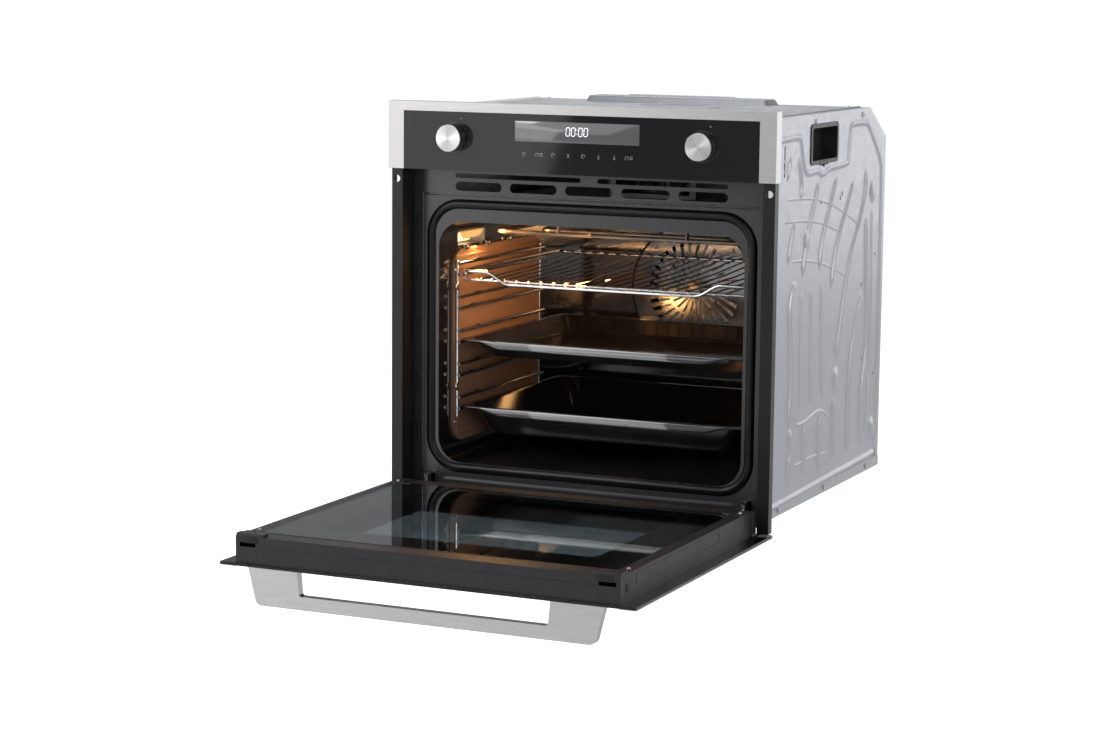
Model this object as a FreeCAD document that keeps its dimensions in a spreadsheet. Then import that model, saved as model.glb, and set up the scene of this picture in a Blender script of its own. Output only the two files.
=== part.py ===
"""Built-in single wall oven with a drop-down glass door, shown with the door open.

+X is the user's right, the oven faces -Y and +Z is up. The origin is the centre of the
flat base that stands on the niche's shelf. All sizes are in millimetres.
"""
import FreeCAD
import Part
import math
import os
import Sketcher

Vector = FreeCAD.Vector
doc = FreeCAD.newDocument("wall_oven")
sheet = doc.addObject("Spreadsheet::Sheet", "dims")


class Size:
    """A length that carries its spreadsheet expression beside its value."""

    def __init__(self, text, value):
        self.text = text
        self.value = float(value)

    def __add__(self, other):
        other = as_size(other)
        return Size(f"({self.text} + {other.text})", self.value + other.value)

    def __radd__(self, other):
        return as_size(other) + self

    def __sub__(self, other):
        other = as_size(other)
        return Size(f"({self.text} - {other.text})", self.value - other.value)

    def __rsub__(self, other):
        return as_size(other) - self

    def __mul__(self, other):
        other = as_size(other)
        return Size(f"({self.text} * {other.text})", self.value * other.value)

    def __rmul__(self, other):
        return as_size(other) * self

    def __truediv__(self, other):
        other = as_size(other)
        return Size(f"({self.text} / {other.text})", self.value / other.value)

    def __neg__(self):
        return Size(f"(0 - {self.text})", -self.value)


def as_size(number):
    if isinstance(number, Size):
        return number
    return Size(f"({number:.6g})", number)


sheet_row = 0


def dim(alias, value):
    """Write one driving dimension to the sheet and return it as a Size."""
    global sheet_row
    sheet_row += 1
    sheet.set(f"A{sheet_row}", alias)
    sheet.set(f"B{sheet_row}", str(value))
    sheet.setAlias(f"B{sheet_row}", alias)
    return Size(f"dims.{alias}", value)


# ---------------------------------------------------------------- driving dimensions
# chassis that goes into the niche
body_width = dim("body_width", 560)
body_height = dim("body_height", 562)
body_depth = dim("body_depth", 528)
sheet_gauge = dim("sheet_gauge", 1)
base_flange = dim("base_flange", 15)
slope_drop = dim("slope_drop", 48)
slope_run = dim("slope_run", 82)

# stainless surround and glass control panel
trim_overhang = dim("trim_overhang", 17.5)
trim_rise = dim("trim_rise", 12)
trim_depth = dim("trim_depth", 20)
trim_bar = dim("trim_bar", 13.5)
trim_leg = dim("trim_leg", 24.5)
trim_gauge = dim("trim_gauge", 1.2)
panel_height = dim("panel_height", 97.5)
glass_gauge = dim("glass_gauge", 4)
carrier_wall = dim("carrier_wall", 2)
carrier_depth = dim("carrier_depth", 36)
display_width = dim("display_width", 191)
display_height = dim("display_height", 28.8)
display_drop = dim("display_drop", 23.7)

# rotary selectors
knob_spread = dim("knob_spread", 382)
knob_drop = dim("knob_drop", 50.5)
knob_diameter = dim("knob_diameter", 39)
knob_reach = dim("knob_reach", 22)
cap_gauge = dim("cap_gauge", 1.1)
bezel_width = dim("bezel_width", 3.5)
bezel_height = dim("bezel_height", 1.5)
shaft_diameter = dim("shaft_diameter", 6)
running_fit = dim("running_fit", 0.05)
moving_gap = dim("moving_gap", 0.4)

# front plate, side posts and seal
plate_setback = dim("plate_setback", 45)
plate_gauge = dim("plate_gauge", 1.2)
plate_rise = dim("plate_rise", 13.5)
post_setback = dim("post_setback", 6)
post_width = dim("post_width", 17.3)
post_wall = dim("post_wall", 1)
post_drop = dim("post_drop", 12)
post_side_gap = dim("post_side_gap", 2.3)
fixing_hole = dim("fixing_hole", 10)
fixing_drop = dim("fixing_drop", 15.5)
vent_length = dim("vent_length", 74)
vent_height = dim("vent_height", 13.4)
vent_pitch = dim("vent_pitch", 87.2)
vent_drop = dim("vent_drop", 26)
upper_vent_height = dim("upper_vent_height", 7)
upper_vent_rise = dim("upper_vent_rise", 15.5)
seal_width = dim("seal_width", 14)
seal_height = dim("seal_height", 4.7)
seal_side_gap = dim("seal_side_gap", 5)
seal_top_gap = dim("seal_top_gap", 19)
seal_bottom_gap = dim("seal_bottom_gap", 0.5)
seal_radius = dim("seal_radius", 45)

# enamelled cavity and its insulation
cavity_side = dim("cavity_side", 42)
cavity_above = dim("cavity_above", 163.5)
cavity_below = dim("cavity_below", 42.5)
cavity_behind = dim("cavity_behind", 60)
cavity_gauge = dim("cavity_gauge", 1.2)
opening_radius = dim("opening_radius", 38)
tub_radius = dim("tub_radius", 20)
wool_gauge = dim("wool_gauge", 25)

# racks, liners and what slides on them
liner_depth = dim("liner_depth", 4)
liner_gauge = dim("liner_gauge", 1)
liner_front = dim("liner_front", 41)
liner_rear_gap = dim("liner_rear_gap", 96)
liner_top_gap = dim("liner_top_gap", 46.5)
liner_bottom_gap = dim("liner_bottom_gap", 2)
liner_radius = dim("liner_radius", 30)
rack_front = dim("rack_front", 48)
rack_rear_gap = dim("rack_rear_gap", 103)
wire_diameter = dim("wire_diameter", 5)
level_top_gap = dim("level_top_gap", 66.5)
level_bottom_gap = dim("level_bottom_gap", 72.5)
level_gap = dim("level_gap", 17)
kink_reach = dim("kink_reach", 5)
shelf_rod = dim("shelf_rod", 6)
shelf_wire = dim("shelf_wire", 3.5)
shelf_rear_gap = dim("shelf_rear_gap", 5)
shelf_dip = dim("shelf_dip", 16)
tray_gauge = dim("tray_gauge", 1.2)
tray_rear_gap = dim("tray_rear_gap", 7)
tray_upper_height = dim("tray_upper_height", 26)
tray_lower_height = dim("tray_lower_height", 44)
tray_rim = dim("tray_rim", 11)
tray_lip = dim("tray_lip", 15)
tray_radius = dim("tray_radius", 24)

# heating, hot-air fan and lamp
tube_diameter = dim("tube_diameter", 7)
grill_drop = dim("grill_drop", 23.5)
grill_foot_drop = dim("grill_foot_drop", 12)
grill_front = dim("grill_front", 125)
grill_side_gap = dim("grill_side_gap", 33)
grill_inner_step = dim("grill_inner_step", 48)
fan_cover_diameter = dim("fan_cover_diameter", 214)
fan_top_gap = dim("fan_top_gap", 130)
fan_cover_depth = dim("fan_cover_depth", 28)
fan_cover_gauge = dim("fan_cover_gauge", 1.2)
fan_diameter = dim("fan_diameter", 140)
ring_diameter = dim("ring_diameter", 184)
fan_shaft = dim("fan_shaft", 6)
motor_diameter = dim("motor_diameter", 72)
motor_length = dim("motor_length", 30)
lamp_front = dim("lamp_front", 62)
lamp_length = dim("lamp_length", 93)
lamp_height = dim("lamp_height", 21)
lamp_top_gap = dim("lamp_top_gap", 21.5)
lamp_reach = dim("lamp_reach", 7)

# cooling blower above the cavity
blower_width = dim("blower_width", 140)
blower_length = dim("blower_length", 136)
blower_height = dim("blower_height", 54)
blower_rear_gap = dim("blower_rear_gap", 128)
rotor_diameter = dim("rotor_diameter", 104)

# side carry grips, terminal box and screws
grip_front = dim("grip_front", 176)
grip_length = dim("grip_length", 114)
grip_drop = dim("grip_drop", 18)
grip_height = dim("grip_height", 51)
grip_depth = dim("grip_depth", 25)
grip_wall = dim("grip_wall", 1.5)
terminal_width = dim("terminal_width", 70)
terminal_height = dim("terminal_height", 50)
terminal_depth = dim("terminal_depth", 30)
terminal_side_gap = dim("terminal_side_gap", 30)
cable_bore = dim("cable_bore", 14)
screw_diameter = dim("screw_diameter", 3.2)
screw_head = dim("screw_head", 7.5)
screw_margin = dim("screw_margin", 64)

# door, its hinges and its handle
hinge_inset = dim("hinge_inset", 8)
hinge_drop = dim("hinge_drop", 10)
door_drop = dim("door_drop", 9.5)
door_gap = dim("door_gap", 5)
door_frame_depth = dim("door_frame_depth", 36)
door_frame_inset = dim("door_frame_inset", 22.5)
door_frame_start = dim("door_frame_start", 18)
door_edge_gap = dim("door_edge_gap", 3)
side_rail_width = dim("side_rail_width", 18)
bottom_rail_width = dim("bottom_rail_width", 26)
top_rail_width = dim("top_rail_width", 35)
rail_wall = dim("rail_wall", 1.5)
case_width = dim("case_width", 14)
case_length = dim("case_length", 150)
case_wall = dim("case_wall", 1.5)
arm_gauge = dim("arm_gauge", 3)
hinge_pin = dim("hinge_pin", 5)
lock_gauge = dim("lock_gauge", 1.2)
spring_diameter = dim("spring_diameter", 7)
strip_width = dim("strip_width", 24)
strip_gauge = dim("strip_gauge", 0.8)
handle_inset = dim("handle_inset", 43)
handle_taper = dim("handle_taper", 12.5)
handle_foot = dim("handle_foot", 73.5)
handle_reach = dim("handle_reach", 50)
handle_bar = dim("handle_bar", 18)
handle_gauge = dim("handle_gauge", 12)

# ---------------------------------------------------------------- places worked out from them
half_width = body_width / 2
front_y = -body_depth / 2
back_y = body_depth / 2
top_z = body_height
trim_half = half_width + trim_overhang
trim_y = front_y - trim_depth
trim_z = top_z + trim_rise
panel_z = trim_z - panel_height
panel_half = trim_half - trim_leg
panel_top = trim_z - trim_bar
plate_y = trim_y + plate_setback
plate_back = plate_y + plate_gauge
plate_half = half_width - post_side_gap
plate_top = panel_z + plate_rise
opening_half = half_width - cavity_side
cavity_z = cavity_below
cavity_top = top_z - cavity_above
cavity_back = back_y - cavity_behind
tub_half = opening_half + cavity_gauge
wool_top = cavity_top + cavity_gauge + wool_gauge
wool_back = cavity_back + cavity_gauge + wool_gauge
fan_z = cavity_top - fan_top_gap
knob_x = knob_spread / 2
knob_z = trim_z - knob_drop
wire_radius = wire_diameter / 2
upright_x = opening_half - liner_depth - wire_radius
runner_x = upright_x - wire_diameter + 0.2
rack_y = plate_y + rack_front
baffle_y = cavity_back - fan_cover_depth
tube_radius = tube_diameter / 2
pivot_y = trim_y + hinge_inset
pivot_z = -hinge_drop
door_top = panel_z - door_gap + hinge_drop
frame_half = trim_half - door_frame_inset
frame_outer = hinge_inset - glass_gauge
frame_inner = frame_outer - door_frame_depth
frame_top = door_top - door_edge_gap
rail_inner = frame_half - side_rail_width
case_outer = rail_inner - 1
case_inner = case_outer - case_width
case_middle = (case_outer + case_inner) / 2
pane_start = door_frame_start + bottom_rail_width
pane_end = frame_top - top_rail_width
arm_foot = sheet_gauge + 4
LEVELS = 5
level_room = cavity_top - cavity_z - level_top_gap - level_bottom_gap - level_gap
level_pitch = level_room / (LEVELS - 1)
SHELF_LEVEL = 0
UPPER_TRAY_LEVEL = 2
LOWER_TRAY_LEVEL = 4

subparts = []


# ---------------------------------------------------------------- building helpers
def bind(obj, prop, size):
    obj.setExpression(prop, as_size(size).text)


def place(obj, x, y, z):
    for axis, size in zip("xyz", (x, y, z)):
        bind(obj, f"Placement.Base.{axis}", size)


def keep(obj, label):
    """Register an object as a sub-part that is written to its own file."""
    obj.Label = label
    subparts.append(obj)
    return obj


def box(name, x, y, z):
    """A block between two faces on each axis."""
    obj = doc.addObject("Part::Box", name)
    for prop, (low, high) in zip(("Length", "Width", "Height"), (x, y, z)):
        bind(obj, prop, high - low)
    place(obj, x[0], y[0], z[0])
    return obj


TURN = {
    "x": FreeCAD.Rotation(Vector(0, 1, 0), 90),
    "y": FreeCAD.Rotation(Vector(1, 0, 0), -90),
    "z": FreeCAD.Rotation(),
}


def rod(name, axis, centre, radius, low, high):
    """A cylinder along an axis; centre gives the two other coordinates in x, y, z order."""
    obj = doc.addObject("Part::Cylinder", name)
    obj.Placement = FreeCAD.Placement(Vector(), TURN[axis])
    bind(obj, "Radius", radius)
    bind(obj, "Height", high - low)
    spot = list(centre)
    spot.insert("xyz".index(axis), low)
    place(obj, *spot)
    return obj


def fuse(name, shapes):
    obj = doc.addObject("Part::MultiFuse", name)
    obj.Shapes = shapes
    obj.Refine = True
    return obj


def group(name, shapes):
    """Separate solids that share one node."""
    obj = doc.addObject("Part::Compound", name)
    obj.Links = shapes
    return obj


def cut(name, base, tools):
    obj = doc.addObject("Part::Cut", name)
    obj.Base = base
    obj.Tool = tools[0] if len(tools) == 1 else fuse(name + "_tools", tools)
    obj.Refine = True
    return obj


def sketch_on(body, role, name, offset=0):
    """A sketch on one of the body's origin planes, moved along the plane's normal."""
    sketch = body.newObject("Sketcher::SketchObject", name)
    plane = [f for f in body.Origin.OriginFeatures if f.Role == role][0]
    sketch.AttachmentSupport = [(plane, "")]
    sketch.MapMode = "FlatFace"
    bind(sketch, "AttachmentOffset.Base.z", offset)
    return sketch


def constrain(sketch, kind, geometry, point, size):
    size = as_size(size)
    if kind in ("Radius", "Diameter"):
        number = sketch.addConstraint(Sketcher.Constraint(kind, geometry, size.value))
    else:
        number = sketch.addConstraint(
            Sketcher.Constraint(kind, -1, 1, geometry, point, size.value))
    sketch.setExpression(f"Constraints[{number}]", size.text)


def outline(sketch, points):
    """A closed outline of straight edges through corners that are all dimensioned."""
    points = [(as_size(x), as_size(y)) for x, y in points]
    first = sketch.GeometryCount
    spots = [Vector(x.value, y.value, 0) for x, y in points]
    count = len(points)
    for i in range(count):
        sketch.addGeometry(Part.LineSegment(spots[i], spots[(i + 1) % count]), False)
    for i in range(count):
        following = first + (i + 1) % count
        sketch.addConstraint(Sketcher.Constraint("Coincident", first + i, 2, following, 1))
    for i, (x, y) in enumerate(points):
        constrain(sketch, "DistanceX", first + i, 1, x)
        constrain(sketch, "DistanceY", first + i, 1, y)


def rectangle(sketch, x, y):
    outline(sketch, [(x[0], y[0]), (x[1], y[0]), (x[1], y[1]), (x[0], y[1])])


def circle(sketch, x, y, diameter):
    x, y, diameter = as_size(x), as_size(y), as_size(diameter)
    spot = Vector(x.value, y.value, 0)
    ring = sketch.addGeometry(Part.Circle(spot, Vector(0, 0, 1), diameter.value / 2), False)
    constrain(sketch, "DistanceX", ring, 3, x)
    constrain(sketch, "DistanceY", ring, 3, y)
    constrain(sketch, "Diameter", ring, 0, diameter)


def slot(sketch, x, y, height):
    """A level slot with round ends; x gives its two outer ends, y its centre line."""
    radius = height / 2
    left, right = x[0] + radius, x[1] - radius
    arcs = []
    for centre, start in ((right, -math.pi / 2), (left, math.pi / 2)):
        ring = Part.Circle(Vector(centre.value, y.value, 0), Vector(0, 0, 1), radius.value)
        arcs.append(sketch.addGeometry(Part.ArcOfCircle(ring, start, start + math.pi), False))
    edges = []
    for start, end, side in ((right, left, 1), (left, right, -1)):
        level = y.value + side * radius.value
        line = Part.LineSegment(Vector(start.value, level, 0), Vector(end.value, level, 0))
        edges.append(sketch.addGeometry(line, False))
    for arc, edge, following in ((arcs[0], edges[0], arcs[1]), (arcs[1], edges[1], arcs[0])):
        sketch.addConstraint(Sketcher.Constraint("Tangent", arc, 2, edge, 1))
        sketch.addConstraint(Sketcher.Constraint("Tangent", edge, 2, following, 1))
    sketch.addConstraint(Sketcher.Constraint("Equal", arcs[0], arcs[1]))
    constrain(sketch, "Radius", arcs[0], 0, radius)
    for arc, centre in zip(arcs, (right, left)):
        constrain(sketch, "DistanceX", arc, 3, centre)
        constrain(sketch, "DistanceY", arc, 3, y)


def new_body(name):
    return doc.addObject("PartDesign::Body", name)


def pad(body, sketch, length, name):
    feature = body.newObject("PartDesign::Pad", name)
    feature.Profile = sketch
    bind(feature, "Length", length)
    sketch.Visibility = False
    return feature


def pocket(body, sketch, name, length=None, reverse=False):
    """Cut a sketch out of the body, right through or to a depth."""
    feature = body.newObject("PartDesign::Pocket", name)
    feature.Profile = sketch
    feature.Reversed = reverse
    if length is None:
        feature.Type = "ThroughAll"
        feature.Midplane = True
    else:
        bind(feature, "Length", length)
    sketch.Visibility = False
    return feature


def revolve(body, sketch, name):
    """Turn a profile about the sketch's own vertical axis."""
    feature = body.newObject("PartDesign::Revolution", name)
    feature.Profile = sketch
    feature.ReferenceAxis = (sketch, ["V_Axis"])
    feature.Angle = 360
    sketch.Visibility = False
    return feature


def long_edges(shape, axis, test=None):
    """Names of the straight edges along an axis, perhaps only some of them."""
    names = []
    for number, edge in enumerate(shape.Edges, 1):
        if not isinstance(edge.Curve, Part.Line):
            continue
        direction = (edge.Vertexes[-1].Point - edge.Vertexes[0].Point).normalize()
        if abs(direction[axis]) > 0.999 and (test is None or test(edge.CenterOfMass)):
            names.append(f"Edge{number}")
    return names


def round_edges(body, feature, axis, radius, name, test=None):
    doc.recompute()
    fillet = body.newObject("PartDesign::Fillet", name)
    fillet.Base = (feature, long_edges(feature.Shape, axis, test))
    bind(fillet, "Radius", radius)
    return fillet


def rounded_block(name, x, y, z, radius, axis=1):
    """A block whose four edges along one axis are rounded."""
    body = new_body(name)
    if axis == 1:
        sketch = sketch_on(body, "XZ_Plane", name + "_sketch", -y[1])
        rectangle(sketch, x, z)
        feature = pad(body, sketch, y[1] - y[0], name + "_pad")
    elif axis == 0:
        sketch = sketch_on(body, "YZ_Plane", name + "_sketch", x[0])
        rectangle(sketch, y, z)
        feature = pad(body, sketch, x[1] - x[0], name + "_pad")
    else:
        sketch = sketch_on(body, "XY_Plane", name + "_sketch", z[0])
        rectangle(sketch, x, y)
        feature = pad(body, sketch, z[1] - z[0], name + "_pad")
    round_edges(body, feature, axis, radius, name + "_round")
    return body


def tube(name, points, radius, bend):
    """A bent wire or tube: straight runs joined by tangent arcs."""
    spots = [Vector(*[as_size(c).value for c in point]) for point in points]
    edges = []
    start = spots[0]
    for i in range(1, len(spots) - 1):
        before = (spots[i - 1] - spots[i]).normalize()
        after = (spots[i + 1] - spots[i]).normalize()
        half = before.getAngle(after) / 2
        trim = bend / math.tan(half)
        first = spots[i] + before * trim
        last = spots[i] + after * trim
        middle = (before + after).normalize() * (bend / math.sin(half) - bend)
        edges.append(Part.LineSegment(start, first).toShape())
        edges.append(Part.Arc(first, spots[i] + middle, last).toShape())
        start = last
    edges.append(Part.LineSegment(start, spots[-1]).toShape())
    path = Part.Wire(edges)
    section = Part.Circle(spots[0], spots[1] - spots[0], radius).toShape()
    swept = path.makePipeShell([Part.Wire([section])], True, True)
    obj = doc.addObject("Part::Feature", name)
    obj.Shape = swept
    return obj


def both_sides(make):
    """Run a maker for the left side (-1) and for the right side (+1)."""
    for side, word in ((-1, "left"), (1, "right")):
        make(side, word)


def span(side, near, far):
    """The interval between two distances from the middle, on one side of it."""
    if side < 0:
        return (-far, -near)
    return (near, far)


# ---------------------------------------------------------------- chassis
def screw_spots():
    """Places along the base flanges where the side panels are screwed on."""
    return [(back_y - screw_margin) * step for step in (-1, 0, 1)]


def make_base_pan():
    flange_half = half_width + sheet_gauge
    depth = (plate_back, back_y)
    pieces = [box("base_floor", (-flange_half, flange_half), depth, (as_size(0), sheet_gauge))]
    for side in (-1, 1):
        x = span(side, half_width, flange_half)
        pieces.append(box("base_flange_wall", x, depth, (as_size(0), base_flange)))
    holes = [rod("base_screw_hole", "x", (y, base_flange / 2), screw_diameter / 2,
                 -flange_half - 1, flange_half + 1) for y in screw_spots()]
    keep(cut("base_pan_shape", fuse("base_pan_sheet", pieces), holes), "base_pan")


def make_side_panel(side, word):
    body = new_body(f"side_{word}")
    inner = half_width - sheet_gauge
    sketch = sketch_on(body, "YZ_Plane", f"side_{word}_outline", inner if side > 0 else -half_width)
    outline(sketch, [(front_y, sheet_gauge), (back_y, sheet_gauge), (back_y, top_z - slope_drop),
                     (back_y - slope_run, top_z), (front_y, top_z)])
    pad(body, sketch, sheet_gauge, f"side_{word}_sheet")
    holes = sketch_on(body, "YZ_Plane", f"side_{word}_holes")
    grip_y = front_y + grip_front
    rectangle(holes, (grip_y, grip_y + grip_length),
              (top_z - grip_drop - grip_height, top_z - grip_drop))
    slot_y = front_y + 64
    rectangle(holes, (slot_y - 2, slot_y + 2), (top_z - 83, top_z - 39))
    for y in screw_spots():
        circle(holes, y, base_flange / 2, screw_diameter)
    pocket(body, holes, f"side_{word}_cuts")
    keep(body, f"side_panel_{word}")


def make_top_cover():
    body = new_body("top")
    inner = half_width - sheet_gauge
    sketch = sketch_on(body, "YZ_Plane", "top_profile", -inner)
    knee = back_y - slope_run
    rear = top_z - slope_drop
    outline(sketch, [(front_y, top_z - sheet_gauge), (knee - 0.25, top_z - sheet_gauge),
                     (back_y - sheet_gauge, rear), (back_y, rear),
                     (knee, top_z), (front_y, top_z)])
    pad(body, sketch, inner * 2, "top_sheet")
    keep(body, "top_cover")


def make_back_panel():
    body = new_body("back")
    inner = half_width - sheet_gauge
    sketch = sketch_on(body, "XZ_Plane", "back_outline", -back_y)
    rectangle(sketch, (-inner, inner), (sheet_gauge, top_z - slope_drop))
    pad(body, sketch, sheet_gauge, "back_sheet")
    holes = sketch_on(body, "XZ_Plane", "back_vents")
    pitch = as_size(16)
    for row in range(6):
        level = wool_top + 12 + pitch * row / 2
        if row % 2 == 0:
            slot(holes, (as_size(-120), as_size(-20)), level, as_size(5))
            slot(holes, (as_size(20), as_size(120)), level, as_size(5))
    left = -half_width + terminal_side_gap
    rectangle(holes, (left, left + terminal_width), (cavity_z, cavity_z + terminal_height))
    pocket(body, holes, "back_cuts")
    keep(body, "back_panel")


def make_front_frame():
    body = new_body("front_plate")
    sketch = sketch_on(body, "XZ_Plane", "plate_outline", -plate_back)
    rectangle(sketch, (-plate_half, plate_half), (sheet_gauge, plate_top))
    plate = pad(body, sketch, plate_gauge, "plate_sheet")
    opening = sketch_on(body, "XZ_Plane", "plate_opening")
    rectangle(opening, (-opening_half, opening_half), (cavity_z, cavity_top))
    hollow = pocket(body, opening, "plate_hollow")

    def corner(point):
        return abs(point.x) < plate_half.value - 5 and cavity_z.value - 1 < point.z

    round_edges(body, hollow, 1, opening_radius, "plate_corners", corner)
    vent = sketch_on(body, "XZ_Plane", "vent_outline")
    vent_z = panel_z - vent_drop
    first = -vent_pitch * 2
    slot(vent, (first - vent_length / 2, first + vent_length / 2), vent_z, vent_height)
    vents = pocket(body, vent, "vent_cut")
    doc.recompute()
    row = body.newObject("PartDesign::LinearPattern", "vent_row")
    row.Originals = [vents]
    row.Direction = (vent, ["H_Axis"])
    row.Length = (vent_pitch * 4).value
    bind(row, "Length", vent_pitch * 4)
    row.Occurrences = 5
    body.Tip = row
    doc.recompute()
    before = body.Shape.Volume
    extra = sketch_on(body, "XZ_Plane", "upper_vents")
    upper_z = vent_z + upper_vent_rise
    reach = vent_pitch * 2 + vent_length / 2
    slot(extra, (-reach, as_size(-13)), upper_z, upper_vent_height)
    slot(extra, (as_size(13), reach), upper_z, upper_vent_height)
    for side in (-1, 1):
        x = span(side, case_inner + 1, case_outer - 1)
        rectangle(extra, x, (arm_foot, sheet_gauge + 25))
    pocket(body, extra, "upper_vent_cut")
    doc.recompute()
    if body.Shape.Volume >= before:
        raise RuntimeError("the upper vents cut nothing")
    keep(body, "front_frame")


def make_post(side, word):
    """A channel beside the door: front face, outer return to the cabinet, inner wall."""
    inner = plate_half
    outer = inner + post_width
    z = (-post_drop, panel_z)
    face_y = trim_y + post_setback
    solid = box(f"post_{word}_block", span(side, inner, outer), (face_y, plate_back), z)
    hollow = box(f"post_{word}_hollow", span(side, inner + post_wall, outer - post_wall),
                 (face_y + post_wall, plate_back + 1), (z[0] - 1, z[1] + 1))
    behind = box(f"post_{word}_behind", span(side, inner + post_wall, outer + 1),
                 (front_y, plate_back + 1), (z[0] - 1, z[1] + 1))
    centre = inner + post_wall + (post_width - post_wall) / 2
    hole = rod(f"post_{word}_hole", "y", (centre * side, panel_z - fixing_drop), fixing_hole / 2,
               face_y - 1, face_y + post_wall + 1)
    keep(cut(f"post_{word}", solid, [hollow, behind, hole]), f"front_post_{word}")


make_base_pan()
both_sides(make_side_panel)
make_top_cover()
make_back_panel()
make_front_frame()
both_sides(make_post)


# ---------------------------------------------------------------- cavity, insulation and seal
lens_y = (plate_y + lamp_front, plate_y + lamp_front + lamp_length)
lens_z = (cavity_top - lamp_top_gap - lamp_height, cavity_top - lamp_top_gap)
ring_radius = ring_diameter / 2
ring_y = cavity_back - 11
ring_feet = [as_size(-16), as_size(16)]
ring_foot_z = fan_z + ring_radius - 1.4
grill_z = cavity_top - grill_drop
grill_feet = [as_size(-24), as_size(24)]
grill_foot_z = cavity_top - grill_foot_drop
heater_z = cavity_z - cavity_gauge - tube_radius
heater_recess = (heater_z - tube_radius - 2, cavity_z - cavity_gauge)


def element_holes(name, low, high):
    """Clearance holes in the rear walls for the element terminals and the fan shaft."""
    gap = tube_radius + 0.5
    spots = [(x, ring_foot_z) for x in ring_feet] + [(x, grill_foot_z) for x in grill_feet]
    holes = [rod(f"{name}_foot_hole", "y", spot, gap, low, high) for spot in spots]
    shaft = rod(f"{name}_shaft_hole", "y", (as_size(0), fan_z), fan_shaft, low, high)
    return holes + [shaft]


def make_cavity():
    outer = rounded_block("tub_outer", (-tub_half, tub_half),
                          (plate_back, cavity_back + cavity_gauge),
                          (cavity_z - cavity_gauge, cavity_top + cavity_gauge),
                          tub_radius + cavity_gauge)
    inner = rounded_block("tub_inner", (-opening_half, opening_half),
                          (plate_back - 1, cavity_back), (cavity_z, cavity_top), tub_radius)
    lamp_hole = box("tub_lamp_hole", (-tub_half - 1, -opening_half + 1), lens_y, lens_z)
    holes = element_holes("tub", cavity_back - 1, cavity_back + cavity_gauge + 1)
    keep(cut("tub", outer, [inner, lamp_hole] + holes), "cavity")


def make_insulation():
    half = tub_half + wool_gauge
    base = cavity_z - cavity_gauge - wool_gauge
    block = rounded_block("wool_block", (-half, half), (plate_back, wool_back),
                          (base, wool_top), tub_radius + wool_gauge)
    core = rounded_block("wool_core", (-tub_half, tub_half),
                         (plate_back - 1, cavity_back + cavity_gauge),
                         (cavity_z - cavity_gauge, cavity_top + cavity_gauge),
                         tub_radius + cavity_gauge)
    recess_half = opening_half - 40
    recess = box("wool_heater_recess", (-recess_half, recess_half),
                 (plate_back + 60, cavity_back - 30), (heater_recess[0], heater_recess[1] + 1))
    lamp_room = box("wool_lamp_room", (-half - 1, -tub_half + 1),
                    (lens_y[0] - 2, lens_y[1] + 2), (lens_z[0] - 2, lens_z[1] + 2))
    arm_rooms = [box("wool_arm_room", span(side, case_middle - arm_gauge, half + 1),
                     (plate_back - 1, plate_y + 18), (base - 1, arm_foot + 23))
                 for side in (-1, 1)]
    holes = element_holes("wool", cavity_back, wool_back + 1)
    keep(cut("wool", block, [core, recess, lamp_room] + arm_rooms + holes), "insulation")


def make_seal():
    x = opening_half + seal_side_gap
    z = (cavity_z - seal_bottom_gap, cavity_top + seal_top_gap)
    y = (plate_y - seal_height, plate_y)
    outer = rounded_block("seal_outer", (-x - seal_width, x + seal_width), y,
                          (z[0] - seal_width, z[1] + seal_width), seal_radius)
    inner = rounded_block("seal_inner", (-x, x), (y[0] - 1, y[1] + 1), z,
                          seal_radius - seal_width)
    keep(cut("seal", outer, [inner]), "door_seal")


make_cavity()
make_insulation()
make_seal()


# ---------------------------------------------------------------- control panel
glass_back = trim_y + glass_gauge
knob_places = [-knob_x, knob_x]


def make_panel_trim():
    outer = box("trim_block", (-trim_half, trim_half), (trim_y, front_y), (panel_z, trim_z))
    hollow = box("trim_hollow", (-trim_half + trim_gauge, trim_half - trim_gauge),
                 (trim_y + trim_gauge, front_y + 1), (panel_z + trim_gauge, trim_z - trim_gauge))
    window = box("trim_window", (-panel_half, panel_half), (trim_y - 1, front_y + 1),
                 (panel_z - 1, panel_top))
    keep(cut("trim", outer, [hollow, window]), "panel_trim")


def make_panel_glass():
    body = new_body("panel_pane")
    sketch = sketch_on(body, "XZ_Plane", "panel_pane_outline", -glass_back)
    rectangle(sketch, (-panel_half, panel_half), (panel_z, panel_top))
    for x in knob_places:
        circle(sketch, x, knob_z, shaft_diameter + 6)
    pad(body, sketch, glass_gauge, "panel_pane_pad")
    keep(body, "panel_glass")


def make_panel_carrier():
    low, high = panel_z + 1.5, top_z - sheet_gauge - 1
    half = panel_half - 1
    y = (glass_back, glass_back + carrier_depth)
    block = box("carrier_block", (-half, half), y, (low, high))
    hollow = box("carrier_hollow", (-half + carrier_wall, half - carrier_wall),
                 (y[0] + carrier_wall, y[1] + 1), (low + carrier_wall, high - carrier_wall))
    display = display_window(0.5)
    window = box("carrier_window", display[0], (y[0] - 1, y[0] + carrier_wall + 1), display[1])
    holes = [rod("carrier_hole", "y", (x, knob_z), shaft_diameter / 2 + 3.5,
                 y[0] - 1, y[0] + carrier_wall + 1) for x in knob_places]
    keep(cut("carrier", block, [hollow, window] + holes), "panel_carrier")


def display_window(gap):
    top = trim_z - display_drop
    half = display_width / 2
    return (-half - gap, half + gap), (top - display_height - gap, top + gap)


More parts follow.
